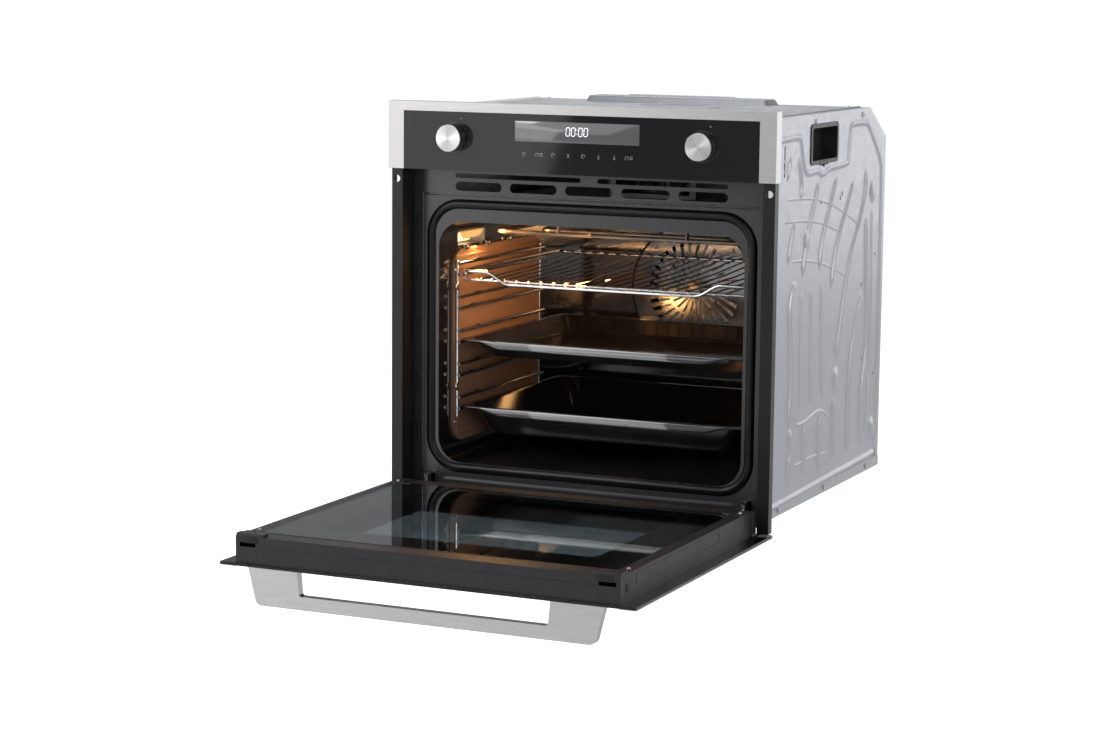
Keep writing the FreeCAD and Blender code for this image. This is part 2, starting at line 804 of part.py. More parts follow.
def make_control_board():
    """Circuit board with the display behind the glass and both rotary encoders."""
    board_y = glass_back + 16
    x, z = display_window(0)
    reach = knob_x + 18
    board = box("board", (-reach, reach), (board_y, board_y + 1.6), (knob_z - 22, knob_z + 22))
    display = box("display", x, (glass_back, board_y), z)
    pieces = [board, display]
    bores = []
    for spot in knob_places:
        middle = glass_back + carrier_wall
        pieces.append(box("encoder_block", (spot - 9, spot + 9), (middle + 1, board_y),
                          (knob_z - 9, knob_z + 9)))
        pieces.append(rod("encoder_bush", "y", (spot, knob_z), shaft_diameter / 2 + 2,
                          trim_y + 0.5, board_y))
        bores.append(rod("encoder_bore", "y", (spot, knob_z), shaft_diameter / 2 + running_fit,
                         trim_y - 1, board_y + 0.5))
    keep(cut("board_set", fuse("board_solid", pieces), bores), "control_board")


def ring_profile(body, name, points):
    """A turned piece about the Y axis of its body."""
    sketch = sketch_on(body, "XY_Plane", name + "_profile")
    outline(sketch, points)
    revolve(body, sketch, name + "_turn")


def make_knob(side, word):
    radius = knob_diameter / 2
    skirt = radius - 0.5
    bezel = radius + bezel_width
    shaft = shaft_diameter / 2
    lift = bezel_height + moving_gap
    rim = lift + 4
    spot = (knob_x * side, trim_y, knob_z)

    surround = new_body(f"bezel_{word}")
    ring_profile(surround, f"bezel_{word}",
                 [(shaft + 2.5, 0), (bezel, 0), (bezel - 0.5, -bezel_height),
                  (shaft + 2.5, -bezel_height)])
    place(surround, *spot)
    keep(surround, f"knob_bezel_{word}")

    core = new_body(f"knob_{word}_core")
    inner = radius - cap_gauge
    ring_profile(core, f"knob_{word}_core",
                 [(0, glass_gauge + 13), (shaft, glass_gauge + 13), (shaft, -lift), (skirt, -lift),
                  (skirt, -rim), (inner, -rim), (inner, -knob_reach + cap_gauge),
                  (0, -knob_reach + cap_gauge)])
    place(core, *spot)
    keep(core, f"knob_{word}")

    cap = new_body(f"knob_{word}_cup")
    ring_profile(cap, f"knob_{word}_cup",
                 [(inner, -rim), (radius, -rim), (radius, -knob_reach + 0.8),
                  (radius - 0.8, -knob_reach), (0, -knob_reach),
                  (0, -knob_reach + cap_gauge), (inner, -knob_reach + cap_gauge)])
    place(cap, *spot)
    keep(cap, f"knob_{word}_cap")


make_panel_trim()
make_panel_glass()
make_panel_carrier()
make_control_board()
both_sides(make_knob)


# ---------------------------------------------------------------- heating, fan and lamp
def spokes(body, feature, name, count):
    """Repeat one feature around the body's Y axis."""
    pattern = body.newObject("PartDesign::PolarPattern", name)
    pattern.Originals = [feature]
    axis = [f for f in body.Origin.OriginFeatures if f.Role == "Y_Axis"][0]
    pattern.Axis = (axis, [""])
    pattern.Angle = 360
    pattern.Occurrences = count
    body.Tip = pattern
    return pattern


def make_fan_cover():
    radius = fan_cover_diameter / 2
    gauge = fan_cover_gauge
    front = -fan_cover_depth
    body = new_body("fan_baffle")
    ring_profile(body, "fan_baffle",
                 [(radius - gauge, 0), (radius, 0), (radius, front + 5), (radius - 5, front),
                  (0, front), (0, front + gauge), (radius - 5.5, front + gauge),
                  (radius - gauge, front + 5.5)])
    sketch = sketch_on(body, "XZ_Plane", "fan_baffle_slot")
    inner, outer = radius * 0.4, radius * 0.7
    outline(sketch, [(-1.6, inner), (1.6, inner), (11.2, outer), (4.8, outer)])
    cut_slot = pocket(body, sketch, "fan_baffle_cut")
    doc.recompute()
    spokes(body, cut_slot, "fan_baffle_slots", 32)
    doc.recompute()
    sketch = sketch_on(body, "XZ_Plane", "fan_baffle_eye_slot")
    inner, outer = radius * 0.15, radius * 0.36
    outline(sketch, [(-1.2, inner), (1.2, inner), (6.6, outer), (2.0, outer)])
    eye_slot = pocket(body, sketch, "fan_baffle_eye_cut")
    doc.recompute()
    spokes(body, eye_slot, "fan_baffle_eye_slots", 20)
    place(body, 0, cavity_back, fan_z)
    keep(body, "fan_cover")


def make_ring_heater():
    ring = doc.addObject("Part::Torus", "ring_loop")
    ring.Placement = FreeCAD.Placement(Vector(), TURN["y"])
    bind(ring, "Radius1", ring_radius)
    bind(ring, "Radius2", tube_radius)
    place(ring, 0, ring_y, fan_z)
    gap = box("ring_gap", (ring_feet[0] + 4, ring_feet[1] - 4),
              (ring_y - tube_radius - 1, ring_y + tube_radius + 1),
              (fan_z, fan_z + ring_radius + tube_diameter))
    feet = [rod("ring_foot", "y", (x, ring_foot_z), tube_radius - 0.7, ring_y, wool_back + 8)
            for x in ring_feet]
    bracket = box("ring_bracket", (ring_feet[0] - 8, ring_feet[1] + 8),
                  (cavity_back - cavity_gauge, cavity_back), (ring_foot_z - 8, ring_foot_z + 8))
    keep(fuse("ring_tube", [cut("ring_open", ring, [gap]), bracket] + feet), "ring_heater")


def make_fan_motor():
    centre = (as_size(0), fan_z)
    flange = rod("motor_flange", "y", centre, motor_diameter / 2 + 12, wool_back, wool_back + 2)
    can = rod("motor_can", "y", centre, motor_diameter / 2, wool_back, wool_back + motor_length)
    bore = rod("motor_bore", "y", centre, fan_shaft / 2 + running_fit, wool_back - 1,
               wool_back + motor_length - 6)
    keep(cut("motor", fuse("motor_solid", [flange, can]), [bore]), "fan_motor")


def make_fan_blade():
    body = new_body("fan_wheel")
    radius = fan_diameter / 2
    shaft_end = cavity_gauge + wool_gauge + motor_length - 8
    ring_profile(body, "fan_wheel",
                 [(0, -23), (8, -23), (8, -7.2), (radius, -7.2), (radius, -6), (8, -6),
                  (fan_shaft / 2, -4), (fan_shaft / 2, shaft_end), (0, shaft_end)])
    sketch = sketch_on(body, "XZ_Plane", "fan_blade_sketch", 7)
    rectangle(sketch, (-0.6, 0.6), (radius - 28, radius - 1))
    blade = pad(body, sketch, 15, "fan_blade_pad")
    doc.recompute()
    spokes(body, blade, "fan_blades", 14)
    place(body, 0, cavity_back, fan_z)
    keep(body, "fan_blade")


def make_grill_element():
    """One tube: an outer loop, an inner loop, and both ends rising to the rear wall."""
    side = opening_half - grill_side_gap
    inner = side - grill_inner_step - 4
    front = plate_y + grill_front
    inner_front = front + grill_inner_step
    rise_end = cavity_back - 34
    rear = rise_end - 36
    inner_rear = rear - 35
    left, right = grill_feet
    loop = [(left, rear), (-side, rear), (-side, front), (side, front), (side, rear),
            (inner, rear), (inner, inner_front), (-inner, inner_front), (-inner, inner_rear),
            (right, inner_rear), (right, rear)]
    route = [(left, wool_back + 8, grill_foot_z), (left, rise_end, grill_foot_z)]
    route += [(x, y, grill_z) for x, y in loop]
    route += [(right, rise_end, grill_foot_z), (right, wool_back + 8, grill_foot_z)]
    sheath = tube("grill_loop", route, tube_radius.value, 16)
    hangers = [box("grill_hanger", (x - 1, x + 1), (front - 5, front + 5), (grill_z, cavity_top))
               for x in (-side / 2, side / 2)]
    keep(fuse("grill", [sheath] + hangers), "grill_element")


def make_base_element():
    half = opening_half - 70
    front = plate_y + 80
    rear = cavity_back - 45
    route = [(-half, rear), (-half, front), (half, front), (half, rear)]
    loop = tube("base_loop", [(x, y, heater_z) for x, y in route], tube_radius.value, 30)
    keep(loop, "base_element")


def make_lamp():
    outer_x = -tub_half
    lens = rounded_block("lens_block", (outer_x, -opening_half + lamp_reach), lens_y, lens_z, 3, 0)
    keep(lens, "lamp_lens")
    depth = 22
    wall = 1.2
    can = box("lamp_can", (outer_x - depth, outer_x), lens_y, lens_z)
    room = box("lamp_room", (outer_x - depth + wall, outer_x + 1),
               (lens_y[0] + wall, lens_y[1] - wall), (lens_z[0] + wall, lens_z[1] - wall))
    keep(cut("lamp_case", can, [room]), "lamp_housing")
    spot = (outer_x - depth / 2, (lens_z[0] + lens_z[1]) / 2)
    base = rod("bulb_base", "y", spot, 5, lens_y[0] + wall, lens_y[0] + wall + 16)
    glass = rod("bulb_glass", "y", spot, 6.5, lens_y[0] + wall + 16, lens_y[0] + wall + 52)
    keep(fuse("bulb", [base, glass]), "lamp_bulb")


make_fan_cover()
make_ring_heater()
make_fan_motor()
make_fan_blade()
make_grill_element()
make_base_element()
make_lamp()


# ---------------------------------------------------------------- racks, shelf and trays
def level_z(level):
    """Height of a level's upper runner."""
    return cavity_top - level_top_gap - level_pitch * level


def rest_z(level):
    """Height at which a shelf or a tray rides on a level's lower runner."""
    return level_z(level) - level_gap + wire_radius + moving_gap


def make_liner(side, word):
    y = (plate_y + liner_front, cavity_back - liner_rear_gap)
    z = (cavity_z + tub_radius + liner_bottom_gap, cavity_top - liner_top_gap)
    face = opening_half - liner_depth
    skin = rounded_block(f"liner_{word}_skin", span(side, face, opening_half), y, z,
                         liner_radius, 0)
    gauge = liner_gauge
    core = rounded_block(f"liner_{word}_core", span(side, face + gauge, opening_half + 1),
                         (y[0] + gauge, y[1] - gauge), (z[0] + gauge, z[1] - gauge),
                         liner_radius - gauge, 0)
    keep(cut(f"liner_{word}_sheet", skin, [core]), f"liner_{word}")


def make_rack(side, word):
    low = level_z(LEVELS - 1) - level_gap - 12
    high = level_z(0) + 5
    x = upright_x * side
    rear_y = cavity_back - rack_rear_gap
    route = [(x, rack_y, high)]
    for level in (0, LEVELS - 2):
        middle = level_z(level) - (level_gap + level_pitch) / 2
        route += [(x, rack_y, middle + 6), (x, rack_y - kink_reach, middle),
                  (x, rack_y, middle - 6)]
    route.append((x, rack_y, low))
    wires = [tube(f"rack_{word}_front", route, wire_radius.value, 3)]
    wires.append(rod(f"rack_{word}_rear", "z", (x, rear_y), wire_radius, low, high))
    for level in range(LEVELS):
        for z in (level_z(level), level_z(level) - level_gap):
            wires.append(rod(f"rack_{word}_runner", "y", (runner_x * side, z), wire_radius,
                             rack_y - 3, rear_y + 3))
    keep(fuse(f"rack_{word}_frame", wires), f"rack_{word}")


def make_wire_shelf():
    rail_x = runner_x - 1.7
    rail_z = rest_z(SHELF_LEVEL) + shelf_rod / 2
    deck_z = rail_z - shelf_dip
    front, rear = rack_y, baffle_y - shelf_rear_gap
    step_out = rail_x - 41
    step_in = rail_x - 80
    radius = (shelf_rod / 2).value
    bar = [(-rail_x, rear, rail_z), (-rail_x, front, rail_z), (-step_out, front, rail_z),
           (-step_in, front, deck_z), (step_in, front, deck_z), (step_out, front, rail_z),
           (rail_x, front, rail_z), (rail_x, rear, rail_z)]
    pieces = [tube("shelf_frame", bar, radius, 10)]
    pieces.append(rod("shelf_back_bar", "x", (rear, rail_z), shelf_rod / 2, -rail_x, rail_x))
    hook_x = rail_x - 3
    end_x = rail_x - 17
    for y in (front + 10, rear - 10):
        hook = [(-hook_x, y, rail_z), (-end_x, y, deck_z), (end_x, y, deck_z), (hook_x, y, rail_z)]
        pieces.append(tube("shelf_cross_bar", hook, wire_radius.value, 5))
    wire_count = 21
    reach = end_x - 8
    for i in range(wire_count):
        x = reach * (2 * i / (wire_count - 1) - 1)
        pieces.append(rod("shelf_wire", "y", (x, deck_z + wire_radius), shelf_wire / 2,
                          front + 4, rear - 4))
    keep(fuse("shelf", pieces), "wire_shelf")


def make_tray(label, level, height):
    half = runner_x + 1.5
    pan_half = runner_x - 9.5
    z = rest_z(level)
    front, rear = rack_y - 2, baffle_y - tray_rear_gap
    y = (front + tray_rim, rear - tray_rim)
    rim = rounded_block(label + "_rim", (-half, half), (front, rear), (z, z + tray_gauge),
                        tray_radius, 2)
    pan = rounded_block(label + "_pan", (-pan_half, pan_half), y, (z - height, z + tray_gauge),
                        tray_radius, 2)
    wall = tray_gauge
    hollow = rounded_block(label + "_hollow", (-pan_half + wall, pan_half - wall),
                           (y[0] + wall, y[1] - wall), (z - height + wall, z + wall + 1),
                           tray_radius - wall, 2)
    lip_half = half - 85
    lip = box(label + "_lip", (-lip_half, lip_half), (front - 0.2, front + tray_gauge),
              (z - tray_lip, z + tray_gauge))
    keep(cut(label + "_sheet", fuse(label + "_solid", [rim, pan, lip]), [hollow]), label)


both_sides(make_liner)
both_sides(make_rack)
make_wire_shelf()
make_tray("tray_upper", UPPER_TRAY_LEVEL, tray_upper_height)
make_tray("tray_lower", LOWER_TRAY_LEVEL, tray_lower_height)


# ---------------------------------------------------------------- cooling blower, grips, terminals
blower_y = (back_y - blower_rear_gap - blower_length, back_y - blower_rear_gap)
rotor_spot = (as_size(0), (blower_y[0] + blower_y[1]) / 2)
blower_top = wool_top + blower_height
rotor_radius = rotor_diameter / 2
rotor_z = (wool_top + 8, wool_top + blower_height - 8)
blower_shaft = 2.5


def make_blower():
    half = blower_width / 2
    wall = sheet_gauge
    case = box("blower_case", (-half, half), blower_y, (wool_top, blower_top))
    room = box("blower_room", (-half + wall, half - wall),
               (blower_y[0] + wall, blower_y[1] - wall), (wool_top + wall, blower_top - wall))
    outlet = box("blower_outlet", (-half + 10, half - 10), (blower_y[0] - 1, blower_y[0] + 3),
                 (wool_top + 6, blower_top - 6))
    inlet = rod("blower_inlet", "z", rotor_spot, rotor_radius / 2, blower_top - 3, blower_top + 1)
    keep(cut("blower", case, [room, outlet, inlet]), "blower_housing")

    bridge = box("blower_bridge", (-half, half), (rotor_spot[1] - 14, rotor_spot[1] + 14),
                 (blower_top, blower_top + 1.5))
    can = rod("blower_can", "z", rotor_spot, 28, blower_top, blower_top + 34)
    bore = rod("blower_bore", "z", rotor_spot, blower_shaft + running_fit, blower_top - 1,
               blower_top + 24)
    keep(cut("blower_drive", fuse("blower_drive_solid", [bridge, can]), [bore]), "blower_motor")

    ring = rod("rotor_ring", "z", rotor_spot, rotor_radius, rotor_z[1] - 1.2, rotor_z[1])
    ring_hole = rod("rotor_ring_hole", "z", rotor_spot, rotor_radius - 13, rotor_z[1] - 3,
                    rotor_z[1] + 1)
    pieces = [rod("rotor_disc", "z", rotor_spot, rotor_radius, rotor_z[0], rotor_z[0] + 1.2),
              rod("rotor_hub", "z", rotor_spot, 9, rotor_z[0], rotor_z[0] + 14),
              rod("rotor_shaft", "z", rotor_spot, blower_shaft, rotor_z[0], blower_top + 22),
              cut("rotor_rim", ring, [ring_hole])]
    blade_count = 18
    for i in range(blade_count):
        angle = 2 * math.pi * i / blade_count
        start = rotor_radius - 11.5
        blade = doc.addObject("Part::Box", "rotor_blade")
        blade.Placement.Rotation = FreeCAD.Rotation(Vector(0, 0, 1), math.degrees(angle))
        bind(blade, "Length", 9.5)
        bind(blade, "Width", 1)
        bind(blade, "Height", rotor_z[1] - rotor_z[0] - 1.2)
        place(blade, rotor_spot[0] + start * math.cos(angle),
              rotor_spot[1] + start * math.sin(angle), rotor_z[0] + 0.6)
        pieces.append(blade)
    keep(fuse("rotor", pieces), "blower_rotor")


def make_carry_grip(side, word):
    y = (front_y + grip_front, front_y + grip_front + grip_length)
    z = (top_z - grip_drop - grip_height, top_z - grip_drop)
    wall = grip_wall
    cup = box(f"grip_{word}_cup", span(side, half_width - grip_depth, half_width), y, z)
    room = box(f"grip_{word}_room", span(side, half_width - grip_depth + wall, half_width + 1),
               (y[0] + wall, y[1] - wall), (z[0] + wall, z[1] - wall))
    keep(cut(f"grip_{word}", cup, [room]), f"carry_grip_{word}")


def make_terminal_box():
    left = -half_width + terminal_side_gap
    x = (left, left + terminal_width)
    y = (back_y - terminal_depth, back_y)
    z = (cavity_z, cavity_z + terminal_height)
    wall = 2
    case = box("terminal_case", x, y, z)
    room = box("terminal_room", (x[0] + wall, x[1] - wall), (y[0] + wall, y[1] - wall),
               (z[0] + wall, z[1] - wall))
    inlet = rod("terminal_inlet", "y", ((x[0] + x[1]) / 2, (z[0] + z[1]) / 2), cable_bore / 2,
                y[1] - wall - 1, y[1] + 1)
    keep(cut("terminal", case, [room, inlet]), "terminal_box")


def make_chassis_screws():
    screws = []
    face = half_width + sheet_gauge
    for side in (-1, 1):
        for y in screw_spots():
            spot = (y, base_flange / 2)
            head = rod("screw_head", "x", spot, screw_head / 2, *span(side, face, face + 2))
            shank = rod("screw_shank", "x", spot, screw_diameter / 2 - 0.05,
                        *span(side, face - 7, face))
            screws.append(fuse("screw", [head, shank]))
    keep(group("screws", screws), "chassis_screws")


make_blower()
both_sides(make_carry_grip)
make_terminal_box()
make_chassis_screws()


# ---------------------------------------------------------------- hinges
pin_radius = hinge_pin / 2
eye_radius = 3.6
lock_y = plate_y - 14
lock_z = 10
lock_pin = 1.5


def make_hinge_arm(side, word):
    """Fixed arm: hooked behind the plate, with the pin that the door turns on."""
    middle = case_middle * side
    body = new_body(f"arm_{word}_plate")
    sketch = sketch_on(body, "YZ_Plane", f"arm_{word}_outline", middle - arm_gauge / 2)
    outline(sketch, [(pivot_y + 2.5, pivot_z - 2.5), (plate_y - 8, arm_foot),
                     (plate_y + 14, arm_foot), (plate_y + 14, arm_foot + 19),
                     (plate_y - 8, arm_foot + 19),
                     (pivot_y - 2.5, pivot_z + 2.5)])
    circle(sketch, lock_y, lock_z, lock_pin * 2 + running_fit * 2)
    pad(body, sketch, arm_gauge, f"arm_{word}_pad")
    spot = (pivot_y, pivot_z)
    eye = rod(f"arm_{word}_eye", "x", spot, eye_radius, middle - arm_gauge / 2,
              middle + arm_gauge / 2)
    pin = rod(f"arm_{word}_pin", "x", spot, pin_radius, *span(side, case_inner - 0.5,
                                                              case_outer + 0.5))
    keep(fuse(f"arm_{word}", [body, eye, pin]), f"hinge_arm_{word}")


def make_hinge_lock(side, word):
    """Lever that is flipped forward to take the door off; it straddles the arm."""
    middle = case_middle * side
    inner = arm_gauge / 2 + moving_gap
    outer = inner + lock_gauge
    strap_z = sheet_gauge + 23 + moving_gap
    y = (lock_y - 4, lock_y + 11)
    pieces = [box(f"lock_{word}_strap", (middle - outer, middle + outer), (lock_y + 3, y[1]),
                  (strap_z, strap_z + lock_gauge)),
              rod(f"lock_{word}_pin", "x", (lock_y, lock_z), lock_pin, middle - outer,
                  middle + outer)]
    for cheek in (-1, 1):
        low, high = span(cheek, inner, outer)
        pieces.append(box(f"lock_{word}_cheek", (middle + low, middle + high), y,
                          (lock_z - 4, strap_z + lock_gauge)))
    keep(fuse(f"lock_{word}", pieces), f"hinge_lock_{word}")


both_sides(make_hinge_arm)
both_sides(make_hinge_lock)


# ---------------------------------------------------------------- door, lying open
def door_box(name, x, along, depth):
    """A block in door terms: distance along the door from the pin, and depth outwards."""
    return box(name, x, (pivot_y - along[1], pivot_y - along[0]),
               (pivot_z - depth[1], pivot_z - depth[0]))


def make_hinge_case(side, word):
    x = span(side, case_inner, case_outer)
    wall = case_wall
    block = door_box(f"case_{word}_block", x, (12, case_length), (-26, frame_outer))
    nose = door_box(f"case_{word}_nose", x, (-6, 13), (-10, frame_outer - 0.5))
    inside = span(side, case_inner + wall, case_outer - wall)
    channel = door_box(f"case_{word}_channel", inside, (-7, case_length - wall),
                       (-27, frame_outer - wall))
    mouth = door_box(f"case_{word}_mouth", inside, (-7, 11), (-27, frame_outer + 1))
    bore = rod(f"case_{word}_bore", "x", (pivot_y, pivot_z), pin_radius + running_fit,
               x[0] - 1, x[1] + 1)
    solid = fuse(f"case_{word}_solid", [block, nose])
    keep(cut(f"case_{word}", solid, [channel, mouth, bore]), f"hinge_case_{word}")


def make_hinge_springs():
    springs = []
    for side in (-1, 1):
        springs.append(rod("spring", "y", (case_middle * side, pivot_z + 12), spring_diameter / 2,
                           pivot_y - case_length + case_wall, pivot_y - 60))
    keep(group("springs", springs), "hinge_springs")


def make_side_rail(side, word):
    wall = rail_wall
    depth = (frame_inner, frame_outer)
    along = (door_frame_start, pane_end)
    block = door_box(f"rail_{word}_block", span(side, rail_inner, frame_half), along, depth)
    room = door_box(f"rail_{word}_room", span(side, rail_inner - 1, frame_half - wall),
                    (along[0] - 1, along[1] + 1), (depth[0] + wall, depth[1] - wall))
    keep(cut(f"rail_{word}", block, [room]), f"door_side_rail_{word}")


def make_bottom_rail():
    wall = rail_wall
    block = door_box("bottom_block", (-case_inner, case_inner), (door_frame_start, pane_start),
                     (frame_inner, frame_outer))
    room = door_box("bottom_room", (-case_inner + wall, case_inner - wall),
                    (door_frame_start + wall, pane_start - wall),
                    (frame_inner + wall, frame_outer + 1))
    keep(cut("bottom_rail", block, [room]), "door_bottom_rail")


def make_top_rail():
    wall = rail_wall + 0.5
    block = door_box("top_block", (-frame_half, frame_half), (pane_end, frame_top),
                     (frame_inner, frame_outer))
    room = door_box("top_room", (-frame_half + wall, frame_half - wall),
                    (pane_end + wall, frame_top - wall), (frame_inner + wall, frame_outer + 1))
    clips = [door_box("clip_slot", span(side, frame_half - 30, frame_half - 6),
                      (frame_top - wall - 1, frame_top + 1), (frame_inner + 8, frame_inner + 14))
             for side in (-1, 1)]
    keep(cut("top_rail", block, [room] + clips), "door_top_rail")


def make_panes():
    outer = door_box("outer_pane", (-trim_half, trim_half), (-door_drop, door_top),
                     (frame_outer, hinge_inset))
    keep(outer, "door_outer_glass")
    middle = door_box("middle_pane", (-case_inner + 1, case_inner - 1), (pane_start, pane_end),
                      (frame_inner + 18, frame_inner + 18 + glass_gauge))
    keep(middle, "door_middle_glass")
    inner = door_box("inner_pane", (-rail_inner, rail_inner), (pane_start, pane_end),
                     (frame_inner, frame_inner + glass_gauge))
    keep(inner, "door_inner_glass")
    strips = [door_box("edge_strip", span(side, trim_half - strip_width, trim_half),
                       (-door_drop, door_top), (hinge_inset, hinge_inset + strip_gauge))
              for side in (-1, 1)]
    keep(group("edge_strips", strips), "door_strips")


def make_handle():
    body = new_body("grab")
    face = pivot_z - hinge_inset
    y = pivot_y - door_top
    half = trim_half - handle_inset
    foot = half - handle_foot
    bar = half - handle_taper
    top = face - handle_reach + handle_bar
    bottom = face - handle_reach
    sketch = sketch_on(body, "XZ_Plane", "grab_outline", -(y + handle_gauge))
    outline(sketch, [(-half, face), (-foot, face), (-foot + 3, top), (foot - 3, top), (foot, face),
                     (half, face), (bar, bottom), (-bar, bottom)])
    plate = pad(body, sketch, handle_gauge, "grab_pad")

    def lower_corner(point):
        return point.z < bottom.value + 0.5

    def inner_corner(point):
        return abs(point.z - top.value) < 0.5

    rounded = round_edges(body, plate, 1, 10, "grab_corners", lower_corner)
    round_edges(body, rounded, 1, 4, "grab_inner_corners", inner_corner)
    keep(body, "handle")


both_sides(make_hinge_case)
make_hinge_springs()
both_sides(make_side_rail)
make_bottom_rail()
make_top_rail()
make_panes()
make_handle()


# ---------------------------------------------------------------- check and write
doc.recompute()
for obj in doc.Objects:
    if "Invalid" in obj.State or "Error" in obj.State:
        raise RuntimeError(f"{obj.Name} failed: {obj.State}")
for part in subparts:
    if part.Shape.isNull() or not part.Shape.isValid() or not part.Shape.Solids:
        raise RuntimeError(f"{part.Label} has no valid solid")

os.makedirs("parts", exist_ok=True)
for part in subparts:
    part.Shape.exportStep(f"parts/{part.Label}.step")
print(len(subparts), "sub-parts written")
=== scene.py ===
import math

import bmesh
import bpy
from mathutils import Matrix, Vector


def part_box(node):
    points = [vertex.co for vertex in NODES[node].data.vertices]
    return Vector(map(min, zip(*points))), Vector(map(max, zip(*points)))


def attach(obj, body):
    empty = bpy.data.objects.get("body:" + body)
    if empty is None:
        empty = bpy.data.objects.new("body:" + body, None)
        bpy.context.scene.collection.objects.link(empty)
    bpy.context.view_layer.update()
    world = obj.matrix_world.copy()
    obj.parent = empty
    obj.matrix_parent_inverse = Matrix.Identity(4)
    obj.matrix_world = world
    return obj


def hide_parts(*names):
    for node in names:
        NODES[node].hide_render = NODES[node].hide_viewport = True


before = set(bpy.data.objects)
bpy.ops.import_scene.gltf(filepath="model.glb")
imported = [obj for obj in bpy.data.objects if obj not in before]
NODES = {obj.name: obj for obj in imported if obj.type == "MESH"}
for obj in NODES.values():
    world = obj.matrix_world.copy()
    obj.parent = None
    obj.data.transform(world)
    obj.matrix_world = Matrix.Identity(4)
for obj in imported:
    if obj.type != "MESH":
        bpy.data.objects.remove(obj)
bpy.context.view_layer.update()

MM = 0.001


def at(x, y, z):
    """A point given in millimetres."""
    return Vector((x * MM, y * MM, z * MM))


# -------- camera
def look(yaw, pitch, roll):
    """Rotation of a camera that looks back along a direction, with a small roll."""
    a, e, r = (math.radians(v) for v in (yaw, pitch, roll))
    back = Vector((math.sin(a) * math.cos(e), -math.cos(a) * math.cos(e), math.sin(e)))
    right = (-back).cross(Vector((0, 0, 1))).normalized()
    up = right.cross(-back)
    side = right * math.cos(r) + up * math.sin(r)
    top = -right * math.sin(r) + up * math.cos(r)
    return Matrix((side, top, back)).transposed().to_4x4()


# Place, angles and focal length as solved from the corners of the front in the photo.
CAMERA_SPOT, CAMERA_ANGLES, FOCAL_LENGTH = (1.538, -3.752, 0.749), (24.43, 8.13, 0.56), 88.33
camera_data = bpy.data.cameras.new("photo_camera")
camera_data.lens = FOCAL_LENGTH
camera_data.sensor_width = 36
camera_data.clip_end = 100
camera = bpy.data.objects.new("photo_camera", camera_data)
camera.matrix_world = Matrix.Translation(CAMERA_SPOT) @ look(*CAMERA_ANGLES)
bpy.context.scene.collection.objects.link(camera)
bpy.context.scene.camera = camera


# -------- materials
SOCKETS = {
    "ior": "IOR", "coat": "Coat Weight", "coat_rough": "Coat Roughness",
    "aniso": "Anisotropic", "aniso_turn": "Anisotropic Rotation",
    "specular": "Specular IOR Level", "transmission": "Transmission Weight",
    "glow": "Emission Strength", "alpha": "Alpha", "sheen": "Sheen Weight",
}


